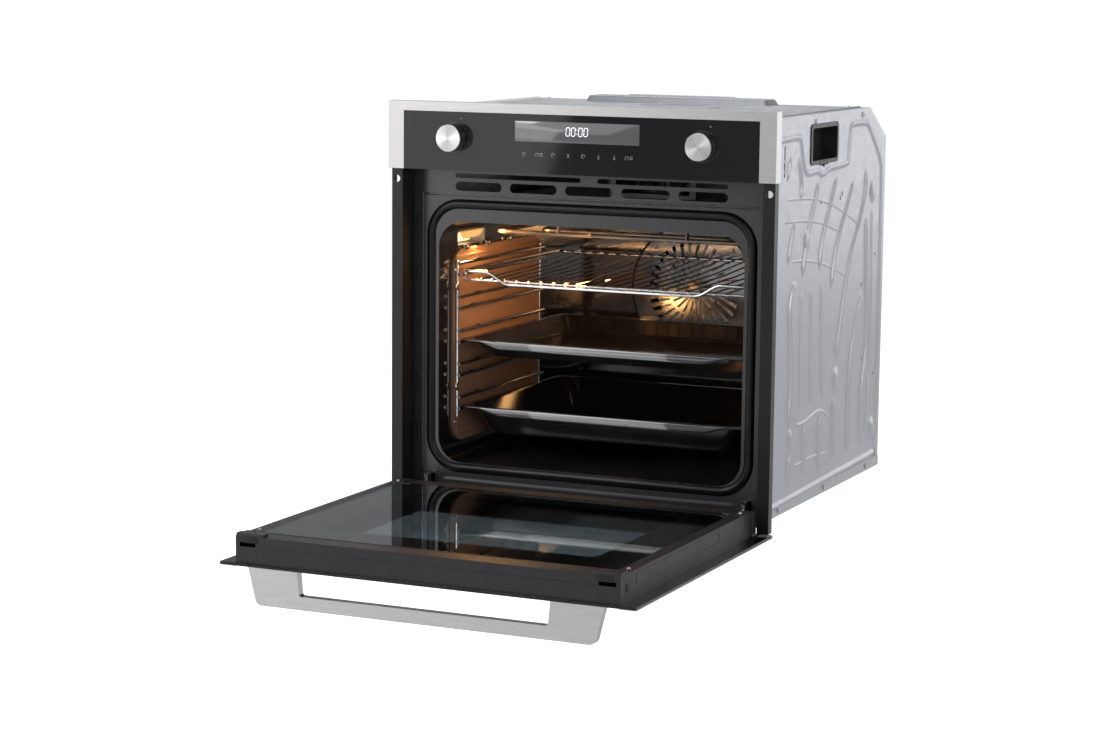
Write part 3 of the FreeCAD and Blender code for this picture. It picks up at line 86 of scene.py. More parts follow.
class Paint:
    """A Principled material with its texture layers in the object's own coordinates."""

    def __init__(self, name, colour, roughness, metallic=0.0, glow_colour=None, **sockets):
        self.mat = bpy.data.materials.new(name)
        self.mat.use_nodes = True
        self.tree = self.mat.node_tree
        self.bsdf = self.tree.nodes["Principled BSDF"]
        self.colour = (*colour, 1)
        self.bsdf.inputs["Base Color"].default_value = self.colour
        self.bsdf.inputs["Roughness"].default_value = roughness
        self.bsdf.inputs["Metallic"].default_value = metallic
        if glow_colour:
            self.bsdf.inputs["Emission Color"].default_value = (*glow_colour, 1)
        for key, value in sockets.items():
            self.bsdf.inputs[SOCKETS[key]].default_value = value
        self.coordinates = self.node("ShaderNodeTexCoord")
        self.height = None

    def node(self, kind, **settings):
        made = self.tree.nodes.new(kind)
        for key, value in settings.items():
            setattr(made, key, value)
        return made

    def link(self, out, into):
        self.tree.links.new(out, into)

    def place(self, stretch):
        """Object coordinates scaled by stretch along each axis."""
        mapping = self.node("ShaderNodeMapping")
        mapping.inputs["Scale"].default_value = stretch
        self.link(self.coordinates.outputs["Object"], mapping.inputs["Vector"])
        return mapping.outputs["Vector"]

    def noise(self, scale, stretch=(1, 1, 1), detail=3, roughness=0.5):
        tex = self.node("ShaderNodeTexNoise")
        tex.inputs["Scale"].default_value = scale
        tex.inputs["Detail"].default_value = detail
        tex.inputs["Roughness"].default_value = roughness
        self.link(self.place(stretch), tex.inputs["Vector"])
        return tex.outputs["Fac"]

    def cells(self, scale, stretch=(1, 1, 1), feature="F1", output="Distance"):
        tex = self.node("ShaderNodeTexVoronoi", feature=feature)
        tex.inputs["Scale"].default_value = scale
        self.link(self.place(stretch), tex.inputs["Vector"])
        return tex.outputs[output]

    def ranged(self, value, low, high, to_low, to_high):
        spread = self.node("ShaderNodeMapRange", clamp=True)
        for key, number in (("From Min", low), ("From Max", high),
                            ("To Min", to_low), ("To Max", to_high)):
            spread.inputs[key].default_value = number
        self.link(value, spread.inputs["Value"])
        return spread.outputs["Result"]

    def tint(self, mask, colour):
        """Where mask is 1 the surface turns to colour."""
        mix = self.node("ShaderNodeMix", data_type="RGBA")
        before = self.bsdf.inputs["Base Color"]
        if before.is_linked:
            self.link(before.links[0].from_socket, mix.inputs["A"])
        else:
            mix.inputs["A"].default_value = self.colour
        mix.inputs["B"].default_value = (*colour, 1)
        self.link(mask, mix.inputs["Factor"])
        self.link(mix.outputs["Result"], before)
        return self

    def mottle(self, scale, colour, amount, stretch=(1, 1, 1), low=0.35, high=0.65):
        value = self.noise(scale, stretch)
        return self.tint(self.ranged(value, low, high, 0, amount), colour)

    def gloss(self, scale, low, high, stretch=(1, 1, 1)):
        value = self.noise(scale, stretch, 4)
        self.link(self.ranged(value, 0.3, 0.7, low, high), self.bsdf.inputs["Roughness"])
        return self

    def bump(self, value, strength, depth):
        made = self.node("ShaderNodeBump")
        made.inputs["Strength"].default_value = strength
        made.inputs["Distance"].default_value = depth
        self.link(value, made.inputs["Height"])
        if self.height:
            self.link(self.height, made.inputs["Normal"])
        self.height = made.outputs["Normal"]
        self.link(self.height, self.bsdf.inputs["Normal"])
        return self

    def grain(self, scale, strength, depth, stretch=(1, 1, 1)):
        return self.bump(self.noise(scale, stretch, 2), strength, depth)

    def spun(self, centre):
        """Lines of spinning round an axis along Y through centre."""
        offset = self.node("ShaderNodeVectorMath", operation="SUBTRACT")
        self.link(self.coordinates.outputs["Object"], offset.inputs[0])
        offset.inputs[1].default_value = centre
        around = self.node("ShaderNodeVectorMath", operation="CROSS_PRODUCT")
        around.inputs[0].default_value = (0, 1, 0)
        self.link(offset.outputs["Vector"], around.inputs[1])
        unit = self.node("ShaderNodeVectorMath", operation="NORMALIZE")
        self.link(around.outputs["Vector"], unit.inputs[0])
        self.link(unit.outputs["Vector"], self.bsdf.inputs["Tangent"])
        flat = self.node("ShaderNodeVectorMath", operation="MULTIPLY")
        flat.inputs[1].default_value = (1, 0, 1)
        self.link(offset.outputs["Vector"], flat.inputs[0])
        reach = self.node("ShaderNodeVectorMath", operation="LENGTH")
        self.link(flat.outputs["Vector"], reach.inputs[0])
        rings = self.node("ShaderNodeTexNoise", noise_dimensions="1D")
        rings.inputs["Scale"].default_value = 6000
        self.link(reach.outputs["Value"], rings.inputs["W"])
        return self.bump(rings.outputs["Fac"], 0.25, 0.00002)


def brushed(name, colour, roughness, along, **more):
    """Brushed steel, with its strokes along one axis."""
    across_scale, along_scale = 1500, 14
    stretch = tuple(along_scale if axis == along else across_scale for axis in range(3))
    paint = Paint(name, colour, roughness, 1.0, **more)
    paint.mottle(1, tuple(c * 0.72 for c in colour), 0.45, stretch)
    paint.mottle(7, tuple(c * 0.9 for c in colour), 0.5)
    paint.gloss(1, roughness - 0.07, roughness + 0.09, stretch)
    return paint.grain(1, 0.18, 0.00003, stretch)


steel_trim = brushed("trim_stainless", (0.70, 0.69, 0.68), 0.30, 0)
steel_handle = brushed("handle_stainless", (0.66, 0.655, 0.65), 0.30, 0)
steel_strip = brushed("strip_stainless", (0.62, 0.62, 0.63), 0.28, 1)
panel_black = (Paint("panel_black_glass", (0.006, 0.0055, 0.007), 0.045, ior=1.5)
               .mottle(9, (0.009, 0.0085, 0.01), 1).gloss(16, 0.03, 0.075))
display_grey = (Paint("display_window", (0.135, 0.132, 0.142), 0.08, ior=2.0)
                .mottle(30, (0.125, 0.122, 0.132), 1).gloss(60, 0.06, 0.10))
digit_white = (Paint("display_digits", (0.9, 0.92, 0.95), 0.4, glow_colour=(0.93, 0.96, 1.0),
                     glow=1.0).mottle(400, (0.75, 0.8, 0.85), 1))
icon_grey = (Paint("touch_icons", (0.42, 0.42, 0.44), 0.4, glow_colour=(0.8, 0.82, 0.85),
                   glow=0.10).mottle(300, (0.30, 0.30, 0.32), 1))
knob_black = (Paint("knob_black", (0.010, 0.010, 0.011), 0.22, coat=0.4)
              .mottle(60, (0.016, 0.016, 0.017), 1).gloss(90, 0.18, 0.32)
              .grain(2500, 0.15, 0.00002))
galvanised = (Paint("galvanised_steel", (0.50, 0.515, 0.545), 0.36, 0.92)
              .mottle(5, (0.46, 0.475, 0.51), 0.8).gloss(120, 0.30, 0.43))
galvanised.tint(galvanised.ranged(galvanised.cells(260, output="Color"), 0.2, 0.9, 0, 0.30),
                (0.58, 0.595, 0.62))
galvanised.grain(700, 0.10, 0.00004)
charcoal = (Paint("charcoal_enamel", (0.028, 0.0265, 0.030), 0.26, ior=1.75)
            .mottle(14, (0.034, 0.032, 0.036), 1).gloss(9, 0.25, 0.29)
            .grain(1800, 0.04, 0.00001))
black_steel = (Paint("black_steel", (0.008, 0.0077, 0.0088), 0.30, ior=1.45)
               .mottle(25, (0.011, 0.0106, 0.0118), 1).gloss(20, 0.28, 0.33))
enamel = (Paint("cavity_enamel", (0.009, 0.0085, 0.0095), 0.10, ior=2.3)
          .mottle(12, (0.014, 0.0135, 0.0145), 1).gloss(45, 0.08, 0.14))
enamel.tint(enamel.ranged(enamel.cells(900), 0.0, 0.07, 0.5, 0), (0.10, 0.10, 0.105))
enamel.grain(120, 0.05, 0.0001)
tray_black = (Paint("tray_enamel", (0.008, 0.0078, 0.009), 0.09, ior=2.5)
              .mottle(20, (0.012, 0.0115, 0.013), 1).gloss(60, 0.07, 0.12))
tray_black.tint(tray_black.ranged(tray_black.cells(1100), 0.0, 0.06, 0.5, 0),
                (0.10, 0.10, 0.105))
tray_black.grain(90, 0.05, 0.0001)
liner_brown = (Paint("liner_enamel", (0.24, 0.145, 0.098), 0.45)
               .mottle(7, (0.19, 0.112, 0.074), 0.9).gloss(40, 0.40, 0.52))
liner_brown.tint(liner_brown.ranged(liner_brown.cells(700), 0.0, 0.25, 0.25, 0),
                 (0.30, 0.20, 0.14))
liner_brown.grain(900, 0.25, 0.00006)
chrome = (Paint("chrome_wire", (0.80, 0.79, 0.78), 0.14, 1.0)
          .mottle(60, (0.70, 0.68, 0.66), 0.8).gloss(300, 0.09, 0.2))
element = (Paint("element_steel", (0.26, 0.235, 0.205), 0.34, 0.95)
           .mottle(35, (0.17, 0.14, 0.115), 0.9).gloss(200, 0.27, 0.42)
           .grain(2500, 0.2, 0.00003))
rubber = (Paint("seal_rubber", (0.0045, 0.0043, 0.005), 0.32, ior=1.4)
          .mottle(60, (0.007, 0.0068, 0.0075), 1).gloss(300, 0.28, 0.38)
          .grain(900, 0.3, 0.00006))
wool = (Paint("glass_wool", (0.62, 0.60, 0.55), 0.95, sheen=0.3)
        .mottle(60, (0.48, 0.46, 0.41), 0.9).grain(500, 0.9, 0.001, (1, 1, 4)))
door_plastic = (Paint("door_plastic", (0.018, 0.0172, 0.020), 0.40, ior=1.46)
                .mottle(30, (0.023, 0.022, 0.025), 1).gloss(60, 0.37, 0.45)
                .grain(3200, 0.2, 0.00002))
door_inner = (Paint("door_inner_steel", (0.014, 0.0135, 0.015), 0.45)
              .mottle(20, (0.019, 0.0185, 0.020), 1).gloss(60, 0.40, 0.50))
frit = (Paint("glass_frit", (0.006, 0.0058, 0.0065), 0.40, ior=1.35)
        .mottle(20, (0.009, 0.0087, 0.0095), 1).gloss(20, 0.36, 0.46))
inner_glass = (Paint("inner_glass", (0.78, 0.84, 0.86), 0.0, transmission=1.0, ior=1.45)
               .mottle(5, (0.75, 0.81, 0.83), 1))
clear_glass = (Paint("clear_glass", (0.84, 0.88, 0.89), 0.0, transmission=1.0, ior=1.45)
               .mottle(5, (0.82, 0.86, 0.87), 1))
outer_glass = (Paint("outer_glass", (0.50, 0.56, 0.60), 0.0, transmission=1.0, ior=1.45)
               .mottle(5, (0.47, 0.53, 0.57), 1))
lamp_glass = (Paint("lamp_glass", (0.50, 0.36, 0.19), 0.18, glow_colour=(1.0, 0.60, 0.24),
                    glow=0.42, transmission=0.3, ior=1.45)
              .mottle(120, (0.42, 0.28, 0.13), 1).grain(300, 0.4, 0.0004, (1, 1, 0.1)))
bulb_glass = (Paint("bulb_glass", (1.0, 0.9, 0.7), 0.1, glow_colour=(1.0, 0.7, 0.35),
                    glow=1.5).mottle(200, (1.0, 0.8, 0.5), 1))
black_plastic = (Paint("black_plastic", (0.012, 0.012, 0.013), 0.36)
                 .mottle(40, (0.022, 0.021, 0.022), 1).gloss(300, 0.3, 0.45)
                 .grain(2600, 0.4, 0.00004))
board = (Paint("board_green", (0.015, 0.10, 0.045), 0.4, coat=0.4)
         .mottle(90, (0.01, 0.06, 0.03), 1).grain(500, 0.3, 0.0002))
motor_steel = (Paint("motor_steel", (0.42, 0.42, 0.43), 0.35, 0.9)
               .mottle(50, (0.30, 0.30, 0.31), 0.9).gloss(200, 0.28, 0.44)
               .grain(1200, 0.2, 0.00005))
rotor_sheet = (Paint("rotor_sheet", (0.50, 0.50, 0.51), 0.30, 0.95)
               .mottle(50, (0.38, 0.38, 0.39), 0.9).gloss(160, 0.24, 0.38)
               .grain(1500, 0.2, 0.00003))
zinc = (Paint("hinge_steel", (0.60, 0.60, 0.61), 0.24, 1.0)
        .mottle(120, (0.44, 0.44, 0.45), 0.9).gloss(350, 0.17, 0.32)
        .grain(1600, 0.2, 0.00003))
# Near-black paint for painted shade: it stands in for the shadow inside holes, slots and grooves.
painted_hole_shade = (Paint("painted_gap_shade", (0.004, 0.004, 0.0045), 0.6)
             .mottle(50, (0.006, 0.006, 0.006), 1).grain(600, 0.3, 0.0001))


def finish_node(paint, *names):
    for name in names:
        obj = NODES[name]
        obj.data.materials.clear()
        obj.data.materials.append(paint.mat)


def pair(name):
    return name + "_left", name + "_right"


finish_node(steel_trim, "panel_trim")
finish_node(steel_handle, "handle")
finish_node(steel_strip, "door_strips")
finish_node(panel_black, "panel_glass")
finish_node(galvanised, "top_cover", "back_panel", "base_pan", "blower_housing",
            "lamp_housing", *pair("side_panel"))
finish_node(charcoal, "front_frame")
finish_node(black_steel, *pair("front_post"))
finish_node(enamel, "cavity", "fan_cover")
finish_node(tray_black, "tray_upper", "tray_lower")
finish_node(liner_brown, *pair("liner"))
finish_node(chrome, "wire_shelf", *pair("rack"))
finish_node(element, "grill_element", "base_element", "ring_heater")
finish_node(rubber, "door_seal")
finish_node(wool, "insulation")
finish_node(door_plastic, "door_top_rail", *pair("door_side_rail"))
finish_node(door_inner, "door_bottom_rail")
finish_node(inner_glass, "door_inner_glass")
finish_node(clear_glass, "door_middle_glass")
finish_node(outer_glass, "door_outer_glass")
finish_node(lamp_glass, "lamp_lens")
finish_node(bulb_glass, "lamp_bulb")
finish_node(black_plastic, "panel_carrier", "terminal_box", *pair("carry_grip"))
finish_node(board, "control_board")
finish_node(motor_steel, "fan_motor", "blower_motor")
finish_node(rotor_sheet, "fan_blade", "blower_rotor")
finish_node(zinc, "chassis_screws", "hinge_springs", *pair("hinge_arm"), *pair("hinge_lock"),
            *pair("hinge_case"))
finish_node(knob_black, *pair("knob"), *pair("knob_bezel"))
for knob in ("knob_left_cap", "knob_right_cap"):
    low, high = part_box(knob)
    middle = (low + high) / 2
    cap_steel = Paint(knob + "_steel", (0.74, 0.73, 0.72), 0.26, 1.0, aniso=0.9)
    cap_steel.mottle(150, (0.66, 0.65, 0.64), 0.6).spun((middle.x, 0, middle.z))
    finish_node(cap_steel, knob)


# -------- mesh makers
def piece(name, bm, body, paint, smooth=40):
    """A finished mesh object that rides on a body; smooth is the sharpest smoothed edge."""
    bmesh.ops.remove_doubles(bm, verts=bm.verts, dist=1e-6)
    bmesh.ops.recalc_face_normals(bm, faces=bm.faces)
    mesh = bpy.data.meshes.new(name)
    bm.to_mesh(mesh)
    bm.free()
    mesh.shade_smooth()
    mesh.set_sharp_from_angle(angle=math.radians(smooth))
    mesh.materials.append(paint.mat)
    obj = bpy.data.objects.new(name, mesh)
    bpy.context.scene.collection.objects.link(obj)
    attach(obj, body)
    return obj


def skin(bm, loops, closed_loop=True, closed_ends=(False, False)):
    """Faces between successive loops of points."""
    rows = [[bm.verts.new(p) for p in loop] for loop in loops]
    count = len(rows[0])
    last = count if closed_loop else count - 1
    for a, b in zip(rows, rows[1:]):
        for i in range(last):
            j = (i + 1) % count
            bm.faces.new((a[i], a[j], b[j], b[i]))
    if closed_ends[0]:
        bm.faces.new(rows[0])
    if closed_ends[1]:
        bm.faces.new(rows[-1])
    return rows


def smooth_line(points, step):
    """Catmull-Rom points about step apart through a polyline of 2-D or 3-D points."""
    pts = [Vector(p) for p in points]
    pts = [pts[0] * 2 - pts[1]] + pts + [pts[-1] * 2 - pts[-2]]
    out = []
    for a, b, c, d in zip(pts, pts[1:], pts[2:], pts[3:]):
        n = max(2, round((c - b).length / step))
        for i in range(n):
            t = i / n
            out.append(0.5 * ((2 * b) + (c - a) * t + (2 * a - 5 * b + 4 * c - d) * t * t
                              + (3 * b - a - 3 * c + d) * t ** 3))
    out.append(pts[-2])
    return out


def ease(t):
    """0 to 1 with a soft start and end."""
    t = max(0.0, min(1.0, t))
    return t * t * (3 - 2 * t)


def bead(bm, points, width, height, to_space, ends=True, flat=0.0, step=5):
    """A pressed bead along a line, a rounded ridge; flat is the share of its width on top."""
    line = smooth_line(points, step)
    lengths = [0.0]
    for a, b in zip(line, line[1:]):
        lengths.append(lengths[-1] + (b - a).length)
    total = lengths[-1]
    across = [i / 10 * 2 - 1 for i in range(11)]
    loops = []
    for i, p in enumerate(line):
        ahead = line[min(i + 1, len(line) - 1)] - line[max(i - 1, 0)]
        side = Vector((-ahead.y, ahead.x)).normalized()
        near = min(lengths[i], total - lengths[i]) / width
        grow = ease(near * 1.1) if ends else 1.0
        row = []
        for s in across:
            rise = ease((1 - abs(s)) / (1 - flat))
            spot = p + side * s * width / 2 * (0.35 + 0.65 * grow)
            row.append(to_space(spot.x, spot.y, height * rise * grow - 0.06))
        loops.append(row)
    skin(bm, loops, closed_loop=False)


def angles(count):
    """The angles of count points round a circle."""
    return [2 * math.pi * i / count for i in range(count)]


def dome(bm, u, v, radius, height, to_space, squash=1.0, rings=7, count=28):
    """A shallow pressed boss, stretched along v by squash."""
    loops = []
    for k in range(rings):
        t = k / (rings - 1)
        reach = radius * (1 - t * 0.985)
        rise = height * ease(t * 1.6) - 0.05
        loops.append([to_space(u + reach * math.cos(a), v + reach * squash * math.sin(a), rise)
                      for a in angles(count)])
    skin(bm, loops, closed_ends=(False, True))


def axis_space(centre, axis, sign=1):
    """Maps (a, b, h) in millimetres to a point: h along the axis, a and b across it.

    Across x the two are y and z, across y they are x and z, and across z they are x and y.
    """
    order = {"x": (1, 2, 0), "y": (0, 2, 1), "z": (0, 1, 2)}[axis]

    def place(a, b, h):
        p = list(centre)
        p[order[0]] += a * MM
        p[order[1]] += b * MM
        p[order[2]] += h * MM * sign
        return Vector(p)
    return place


def screw(bm, centre, axis, sign, radius, height, turn=0.4):
    """A pan-head screw with a cross recess."""
    place = axis_space(centre, axis, sign)
    c, s = math.cos(turn), math.sin(turn)
    loops = []
    for reach, rise in ((1, -0.6), (1, 0.55), (0.93, 0.8), (0.8, 0.94), (0.64, 1.0),
                        (0.52, 1.02), (0.4, 1.03), (0.28, 1.03), (0.15, 1.03), (0.02, 1.03)):
        row = []
        for a in angles(32):
            x, y = reach * math.cos(a), reach * math.sin(a)
            cross = min(abs(x), abs(y)) < 0.13 and reach < 0.6
            h = rise - (0.75 if cross else 0)
            row.append(place((x * c - y * s) * radius, (x * s + y * c) * radius, h * height))
        loops.append(row)
    skin(bm, loops, closed_ends=(False, True))


def rounded(width, height, radius, cx=0.0, cy=0.0, steps=5):
    """Outline of a rounded rectangle, anticlockwise."""
    out = []
    for k, (sx, sy) in enumerate(((1, 1), (-1, 1), (-1, -1), (1, -1))):
        for i in range(steps + 1):
            a = math.pi / 2 * (k + i / steps)
            out.append((cx + sx * (width / 2 - radius) + radius * math.cos(a),
                        cy + sy * (height / 2 - radius) + radius * math.sin(a)))
    return out


def inset(outline, by):
    """The outline moved inwards by a distance."""
    out, n = [], len(outline)
    for i in range(n):
        a, b, c = (Vector(outline[(i + k) % n]) for k in (-1, 0, 1))
        d = (b - a).normalized() + (c - b).normalized()
        if d.length < 1e-9:
            d = c - b
        side = Vector((-d.y, d.x)).normalized()
        out.append(tuple(b + side * by))
    return out


def slab(bm, outline, place, low, high, edge=0.3):
    """A plate with that outline and softly broken top edges."""
    steps = [(0, low), (0, high - edge), (edge * 0.3, high - edge * 0.3), (edge, high)]
    loops = [[place(u, v, h) for u, v in inset(outline, by)] for by, h in steps]
    skin(bm, loops, closed_ends=(True, True))


def ring_slab(bm, outer, inner, place, low, high, edge=0.3):
    """A frame between two outlines that have the same number of points."""
    steps = [(outer, 0, low), (outer, 0, high - edge), (outer, edge, high),
             (inner, -edge, high), (inner, 0, high - edge), (inner, 0, low), (outer, 0, low)]
    skin(bm, [[place(u, v, h) for u, v in inset(line, by)] for line, by, h in steps])


def rod(bm, points, radius, count=10, ends=True):
    """A round rod along 3-D points, in metres."""
    pts = [Vector(p) for p in points]
    loops = []
    for i, p in enumerate(pts):
        ahead = (pts[min(i + 1, len(pts) - 1)] - pts[max(i - 1, 0)]).normalized()
        ref = Vector((0, 0, 1)) if abs(ahead.z) < 0.9 else Vector((1, 0, 0))
        a = ahead.cross(ref).normalized()
        b = ahead.cross(a)
        loops.append([p + (a * math.cos(t) + b * math.sin(t)) * radius for t in angles(count)])
    skin(bm, loops, closed_ends=(ends, ends))


# -------- pressed side sheets
# Beads: points (y, z), width, height. Bosses, screws and holes: y, z, then their sizes.
SIDE_RIBS = [
    ([(-172, 511), (-180, 491), (-189, 472)], 15, 3.0),
    ([(-142, 506), (-134, 488), (-126, 462), (-133, 440)], 15, 3.0),
    ([(-49, 468), (-65, 439), (-84, 409), (-98, 385), (-109, 354), (-116, 330)], 18, 3.6),
    ([(32, 470), (5, 430), (-21, 393), (-35, 366), (-43, 334)], 18, 3.6),
    ([(113, 460), (73, 411), (41, 372), (22, 332), (13, 300)], 18, 3.6),
    ([(166, 474), (166, 436), (140, 391), (109, 354), (86, 311), (70, 270), (56, 231),
      (46, 190)], 20, 3.8),
    ([(40, 140), (38, 102), (40, 38)], 20, 3.6),
    ([(174, 400), (178, 333), (184, 267), (187, 231), (187, 190), (179, 160), (172, 131),
      (172, 67), (179, 42)], 17, 3.6),
    ([(200, 408), (206, 309), (211, 200), (214, 90)], 9, 2.2),
    ([(-151, 417), (-167, 385), (-179, 353)], 17, 3.2),
    ([(-140, 330), (-158, 313), (-166, 290), (-163, 262), (-158, 223), (-155, 178),
      (-160, 143), (-161, 118)], 18, 3.6),
    ([(-155, 86), (-157, 62), (-156, 31)], 15, 3.2),
    ([(-118, 313), (-115, 238), (-110, 140)], 9, 2.4),
    ([(-75, 315), (-70, 233), (-64, 142)], 9, 2.4),
    ([(-29, 315), (-22, 227), (-15, 142)], 9, 2.4),
    ([(-93, 122), (-93, 72), (-91, 33)], 17, 3.4),
    ([(-26, 124), (-25, 65), (-23, 33)], 17, 3.4),
    ([(160, 286), (146, 253), (132, 228), (118, 200), (111, 165), (108, 116), (110, 68),
      (107, 40)], 18, 3.6),
    ([(205, 155), (203, 100), (202, 48)], 9, 2.4),
]
SIDE_LINES = [
    ([(-236, 531), (-152, 533), (-134, 527), (-124, 505), (-113, 484), (-95, 479), (-59, 480),
      (-43, 475), (-22, 476), (-8, 481), (70, 484), (82, 490), (86, 515), (92, 536),
      (106, 541), (160, 540), (178, 533), (224, 494), (238, 476), (244, 450), (246, 300),
      (246, 40), (240, 28), (224, 23), (0, 19), (-220, 15), (-238, 17)], 13, 2.6),
    ([(-186, 447), (-114, 444), (-52, 438), (12, 426), (75, 409), (137, 388)], 6, 0.9),
    ([(-195, 416), (-100, 411), (-25, 401), (54, 383)], 6, 0.9),
    ([(-162, 358), (-102, 354), (-43, 346), (22, 332), (96, 310)], 6, 0.9),
    ([(-138, 136), (-126, 120), (-90, 119), (-24, 126), (36, 103)], 7, 1.2),
    ([(-130, 60), (-60, 62), (10, 58)], 6, 0.8),
]
SIDE_BOSSES = [(202, 436, 17, 3.4), (226, 62, 17, 3.4), (-101, 382, 15, 3.0),
               (45, 163, 17, 3.4), (-154, 100, 14, 3.0)]
SIDE_SCREWS = [(-240, 552, 4.0), (-68, 551, 4.2), (146, 552, 4.0), (160, 294, 2.8),
               (171, 180, 2.8), (-255, 300, 2.6), (-255, 120, 2.6)]
SIDE_HOLES = [(-40, 434, 1.9, 3.4), (56, 440, 1.9, 3.4), (48, 434, 1.9, 3.4),
              (-228, 430, 1.7, 3), (-228, 421, 1.7, 3), (222, 336, 1.6, 2.4),
              (228, 150, 1.6, 2.4)]


def side_place(sign):
    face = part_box("side_panel_right")[1].x
    return axis_space((sign * face, 0, 0), "x", sign)


for sign, word in ((-1, "left"), (1, "right")):
    place = side_place(sign)
    bm = bmesh.new()
    for points, width, height in SIDE_RIBS:
        bead(bm, points, width, height, place)
    piece("side_ribs_" + word, bm, "chassis", galvanised, 60)
    bm = bmesh.new()
    for points, width, height in SIDE_LINES:
        bead(bm, points, width, height, place, step=6)
    for y, z, radius, height in SIDE_BOSSES:
        dome(bm, y, z, radius, height, place, 1.25)
    piece("side_steps_" + word, bm, "chassis", galvanised, 60)
    bm = bmesh.new()
    for k, (y, z, radius) in enumerate(SIDE_SCREWS):
        screw(bm, place(y, z, 0), "x", sign, radius, 1.7, 0.3 + k)
    piece("side_screws_" + word, bm, "chassis", zinc, 35)
    # The side holes are thin near-black plates on the sheet, painted shade in place of real
    # openings.
    bm = bmesh.new()
    for y, z, radius, tall in SIDE_HOLES:
        slab(bm, rounded(radius * 2, tall * 2, radius * 0.98, y, z), place, -0.2, 0.12, 0.04)
    piece("side_holes_" + word, bm, "chassis", painted_hole_shade, 35)

# -------- top cover
top_place = axis_space((0, 0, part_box("top_cover")[1].z), "z")
# Straight ribs: from x, to x, y, width.
TOP_RIBS = [
    (-221, -69, -8, 22), (-244, -101, 128, 22), (-228, -106, -172, 22), (118, 240, 74, 22),
    (140, 226, -84, 22), (-220, -120, 60, 22), (172, 240, -6, 22), (45, 92, -196, 13),
    (200, 232, -192, 13), (-60, -20, -200, 13),
]
TOP_BEADS = [
    ([(-266, -252), (-266, 0), (-266, 176)], 12, 2.2),
    ([(266, -252), (266, 0), (266, 176)], 12, 2.2),
    ([(-46, -150), (-52, -60), (-46, 20), (-20, 52), (20, 60), (66, 52), (92, 20), (98, -60),
      (92, -150)], 15, 2.6),
]
TOP_SCREWS = [(-250, -245), (0, -245), (250, -245), (-250, 168), (250, 168), (-30, 104), (60, -30)]

bm = bmesh.new()
for x0, x1, y, width in TOP_RIBS:
    bead(bm, [(x0, y), (x1, y)], width, 2.4, top_place, flat=0.45)
for points, width, height in TOP_BEADS:
    bead(bm, points, width, height, top_place, flat=0.3)
piece("top_ribs", bm, "chassis", galvanised, 60)

bm = bmesh.new()
DUCT_Y, DUCT_RIB_BASE = 146, 8.7
duct = rounded(306, 62, 14, -14, DUCT_Y)
loops = []
for by, h in ((0, -0.3), (1.2, 0.5), (5, 6.4), (6.6, 8.2), (9.4, 9.0)):
    loops.append([top_place(u, v, h) for u, v in inset(duct, by)])
skin(bm, loops, closed_ends=(True, True))
bead(bm, [(-120, DUCT_Y), (92, DUCT_Y)], 24, 11.4,
     lambda x, y, h: top_place(x, y, max(h, DUCT_RIB_BASE)), flat=0.5)
piece("top_duct", bm, "chassis", galvanised, 50)

bm = bmesh.new()
for k, (x, y) in enumerate(TOP_SCREWS):
    screw(bm, top_place(x, y, 0), "z", 1, 3.6, 1.8, 0.7 * k)
piece("top_screws", bm, "chassis", zinc, 35)

# -------- control panel
panel_place = axis_space((0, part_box("panel_glass")[0].y, 0), "y", -1)
DISPLAY_WIDE, DISPLAY_TALL, DISPLAY_Z = 191, 28.8, 535.9
DIGITS_X, DIGIT_Z, DIGIT_WIDE, DIGIT_TALL = (-13.2, -5.0, 6.0, 14.2), 537.2, 6.6, 12.6
COLON_X, CLOCK_X, CLOCK_Z = 0.6, -47, 535.6
ICON_Z, KNOB_MARK_Z = 503.5, 551
# Places along x of the touch marks, by their shape.
RING_ICONS, LIST_ICONS, CROSS_ICONS, KEY_ICONS = (-81, -36, 10.5), (-58, 80), (-12.5,), (34, 58)

bm = bmesh.new()
slab(bm, rounded(DISPLAY_WIDE, DISPLAY_TALL, 0.8, 0, DISPLAY_Z), panel_place, 0.0, 0.12, 0.04)
piece("display_window", bm, "chassis", display_grey, 35)

# Six segments of a 0: steps across, steps up, and whether it lies flat.
SEGMENTS = ((0, 2, True), (-1, 1, False), (1, 1, False), (-1, -1, False), (1, -1, False),
            (0, -2, True))


def zero(bm, x, z, width, height, stroke):
    """The digit 0 drawn with six display segments."""
    for sx, sz, flat in SEGMENTS:
        cx, cz = x + sx * (width - stroke) / 2, z + sz * (height - stroke) / 4
        if flat:
            w, h = width - stroke * 1.6, stroke
            shape = [(-w / 2, 0), (-w / 2 + h / 2, -h / 2), (w / 2 - h / 2, -h / 2), (w / 2, 0),
                     (w / 2 - h / 2, h / 2), (-w / 2 + h / 2, h / 2)]
        else:
            w, h = stroke, (height - stroke) / 2 - stroke * 0.35
            shape = [(0, -h / 2), (w / 2, -h / 2 + w / 2), (w / 2, h / 2 - w / 2), (0, h / 2),
                     (-w / 2, h / 2 - w / 2), (-w / 2, -h / 2 + w / 2)]
        lean = 0.06
        outline = [(cx + u + (cz + v - z) * lean, cz + v) for u, v in shape]
        slab(bm, outline, panel_place, 0.12, 0.2, 0.02)


def arc(bm, x, z, radius, start, end, stroke=0.45):
    """A thin printed arc, angles in degrees."""
    n = max(3, int(abs(end - start) / 15))
    inner, outer = [], []
    for i in range(n + 1):
        a = math.radians(start + (end - start) * i / n)
        inner.append((x + (radius - stroke) * math.cos(a), z + (radius - stroke) * math.sin(a)))
        outer.append((x + radius * math.cos(a), z + radius * math.sin(a)))
    slab(bm, outer + inner[::-1], panel_place, -0.02, 0.1, 0.02)


def dash(bm, x0, z0, x1, z1, stroke=0.5, place=panel_place, low=-0.02, high=0.1):
    """A thin straight stroke, printed on the panel unless place says otherwise."""
    d = (Vector((x1, z1)) - Vector((x0, z0))).normalized() * stroke / 2
    slab(bm, [(x0 + d.y, z0 - d.x), (x1 + d.y, z1 - d.x), (x1 - d.y, z1 + d.x),
              (x0 - d.y, z0 + d.x)], place, low, high, 0.02)


